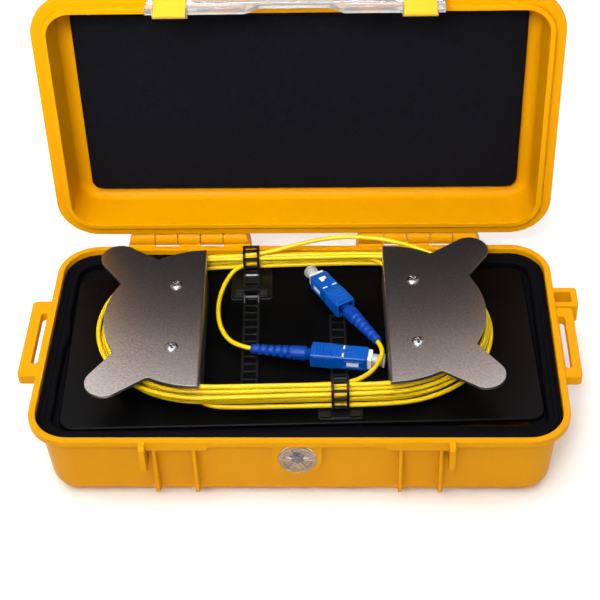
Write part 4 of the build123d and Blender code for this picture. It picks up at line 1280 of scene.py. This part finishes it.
def softened(node, width):
    """A copy of a CAD block, closed up and given soft edges."""
    work = bmesh.new()
    work.from_mesh(nodes[node].data)
    bmesh.ops.remove_doubles(work, verts=work.verts, dist=1e-6)
    bmesh.ops.dissolve_limit(work, angle_limit=0.02, verts=work.verts, edges=work.edges)
    mesh = modified(
        mesh_of(work, node),
        [("BEVEL", {"width": width, "segments": 3, "limit_method": "ANGLE", "angle_limit": 0.7}),
         ("TRIANGULATE", {})],
    )
    mesh.materials.clear()
    add_piece(f"{node}_soft", mesh, "base", slots[node], [node])


for node, width in (
    ("strap_pad_rear", 0.0002),
    ("strap_pad_front", 0.0002),
    ("reel_cradle_left", 0.0012),
    ("reel_cradle_right", 0.0012),
):
    softened(node, width)


for key, lead, plug, anchor, length in (
    ("a", lead_a_line, PLUG_A, (-44.5, -2, 6), 1.67),
    ("b", lead_b_line, PLUG_B, (44.5, 2, 6), 1.62),
):
    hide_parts(f"lead_{key}_start", f"lead_{key}_winding", f"lead_{key}_tail")


# ---- Light and floor ----
def add_light(name, place, aim, size, power, tint=(1, 1, 1)):
    light = bpy.data.lights.new(name, "AREA")
    light.shape, light.size, light.size_y = "RECTANGLE", size[0], size[1]
    light.energy, light.color = power, tint
    holder = bpy.data.objects.new(name, light)
    holder.location = place
    holder.rotation_euler = (Vector(aim) - Vector(place)).to_track_quat("-Z", "Y").to_euler()
    bpy.context.scene.collection.objects.link(holder)


world = bpy.data.worlds.new("studio")
world.use_nodes = True
world.node_tree.nodes["Background"].inputs["Color"].default_value = (1, 1, 1, 1)
world.node_tree.nodes["Background"].inputs["Strength"].default_value = 0.4
bpy.context.scene.world = world
bpy.context.scene.view_settings.view_transform = "Standard"
add_light("key", (-0.15, -0.2, 0.68), (0.0, 0.02, 0.06), (0.45, 0.35), 2.0)
add_light("lid", (-0.1, -0.42, 0.56), (-0.02, 0.08, 0.15), (0.3, 0.15), 0.5)
bpy.data.lights["lid"].spread = math.radians(48)
add_light("fill", (0.7, -0.7, 0.9), (0, 0, 0.05), (0.8, 0.8), 0.6)
add_light("back", (0.0, 0.95, 1.0), (0, 0, 0.05), (1.6, 0.7), 3.2)
add_light("overhead", (0.0, 0.2, 2.2), (0, 0, 0.0), (2.5, 2.5), 30.0)

floor_mesh = bpy.data.meshes.new("floor")
REACH = 4.0
floor_mesh.from_pydata(
    [(x * REACH, y * REACH, -0.0004) for x, y in ((-1, -1), (1, -1), (1, 1), (-1, 1))],
    [],
    [(0, 1, 2, 3)],
)
floor = bpy.data.objects.new("floor", floor_mesh)
bpy.context.scene.collection.objects.link(floor)
pale = bpy.data.materials.new("pale_floor")
pale.use_nodes = True
pale.node_tree.nodes["Principled BSDF"].inputs["Base Color"].default_value = (0.95, 0.95, 0.95, 1)
pale.node_tree.nodes["Principled BSDF"].inputs["Roughness"].default_value = 0.9
floor_mesh.materials.append(pale)
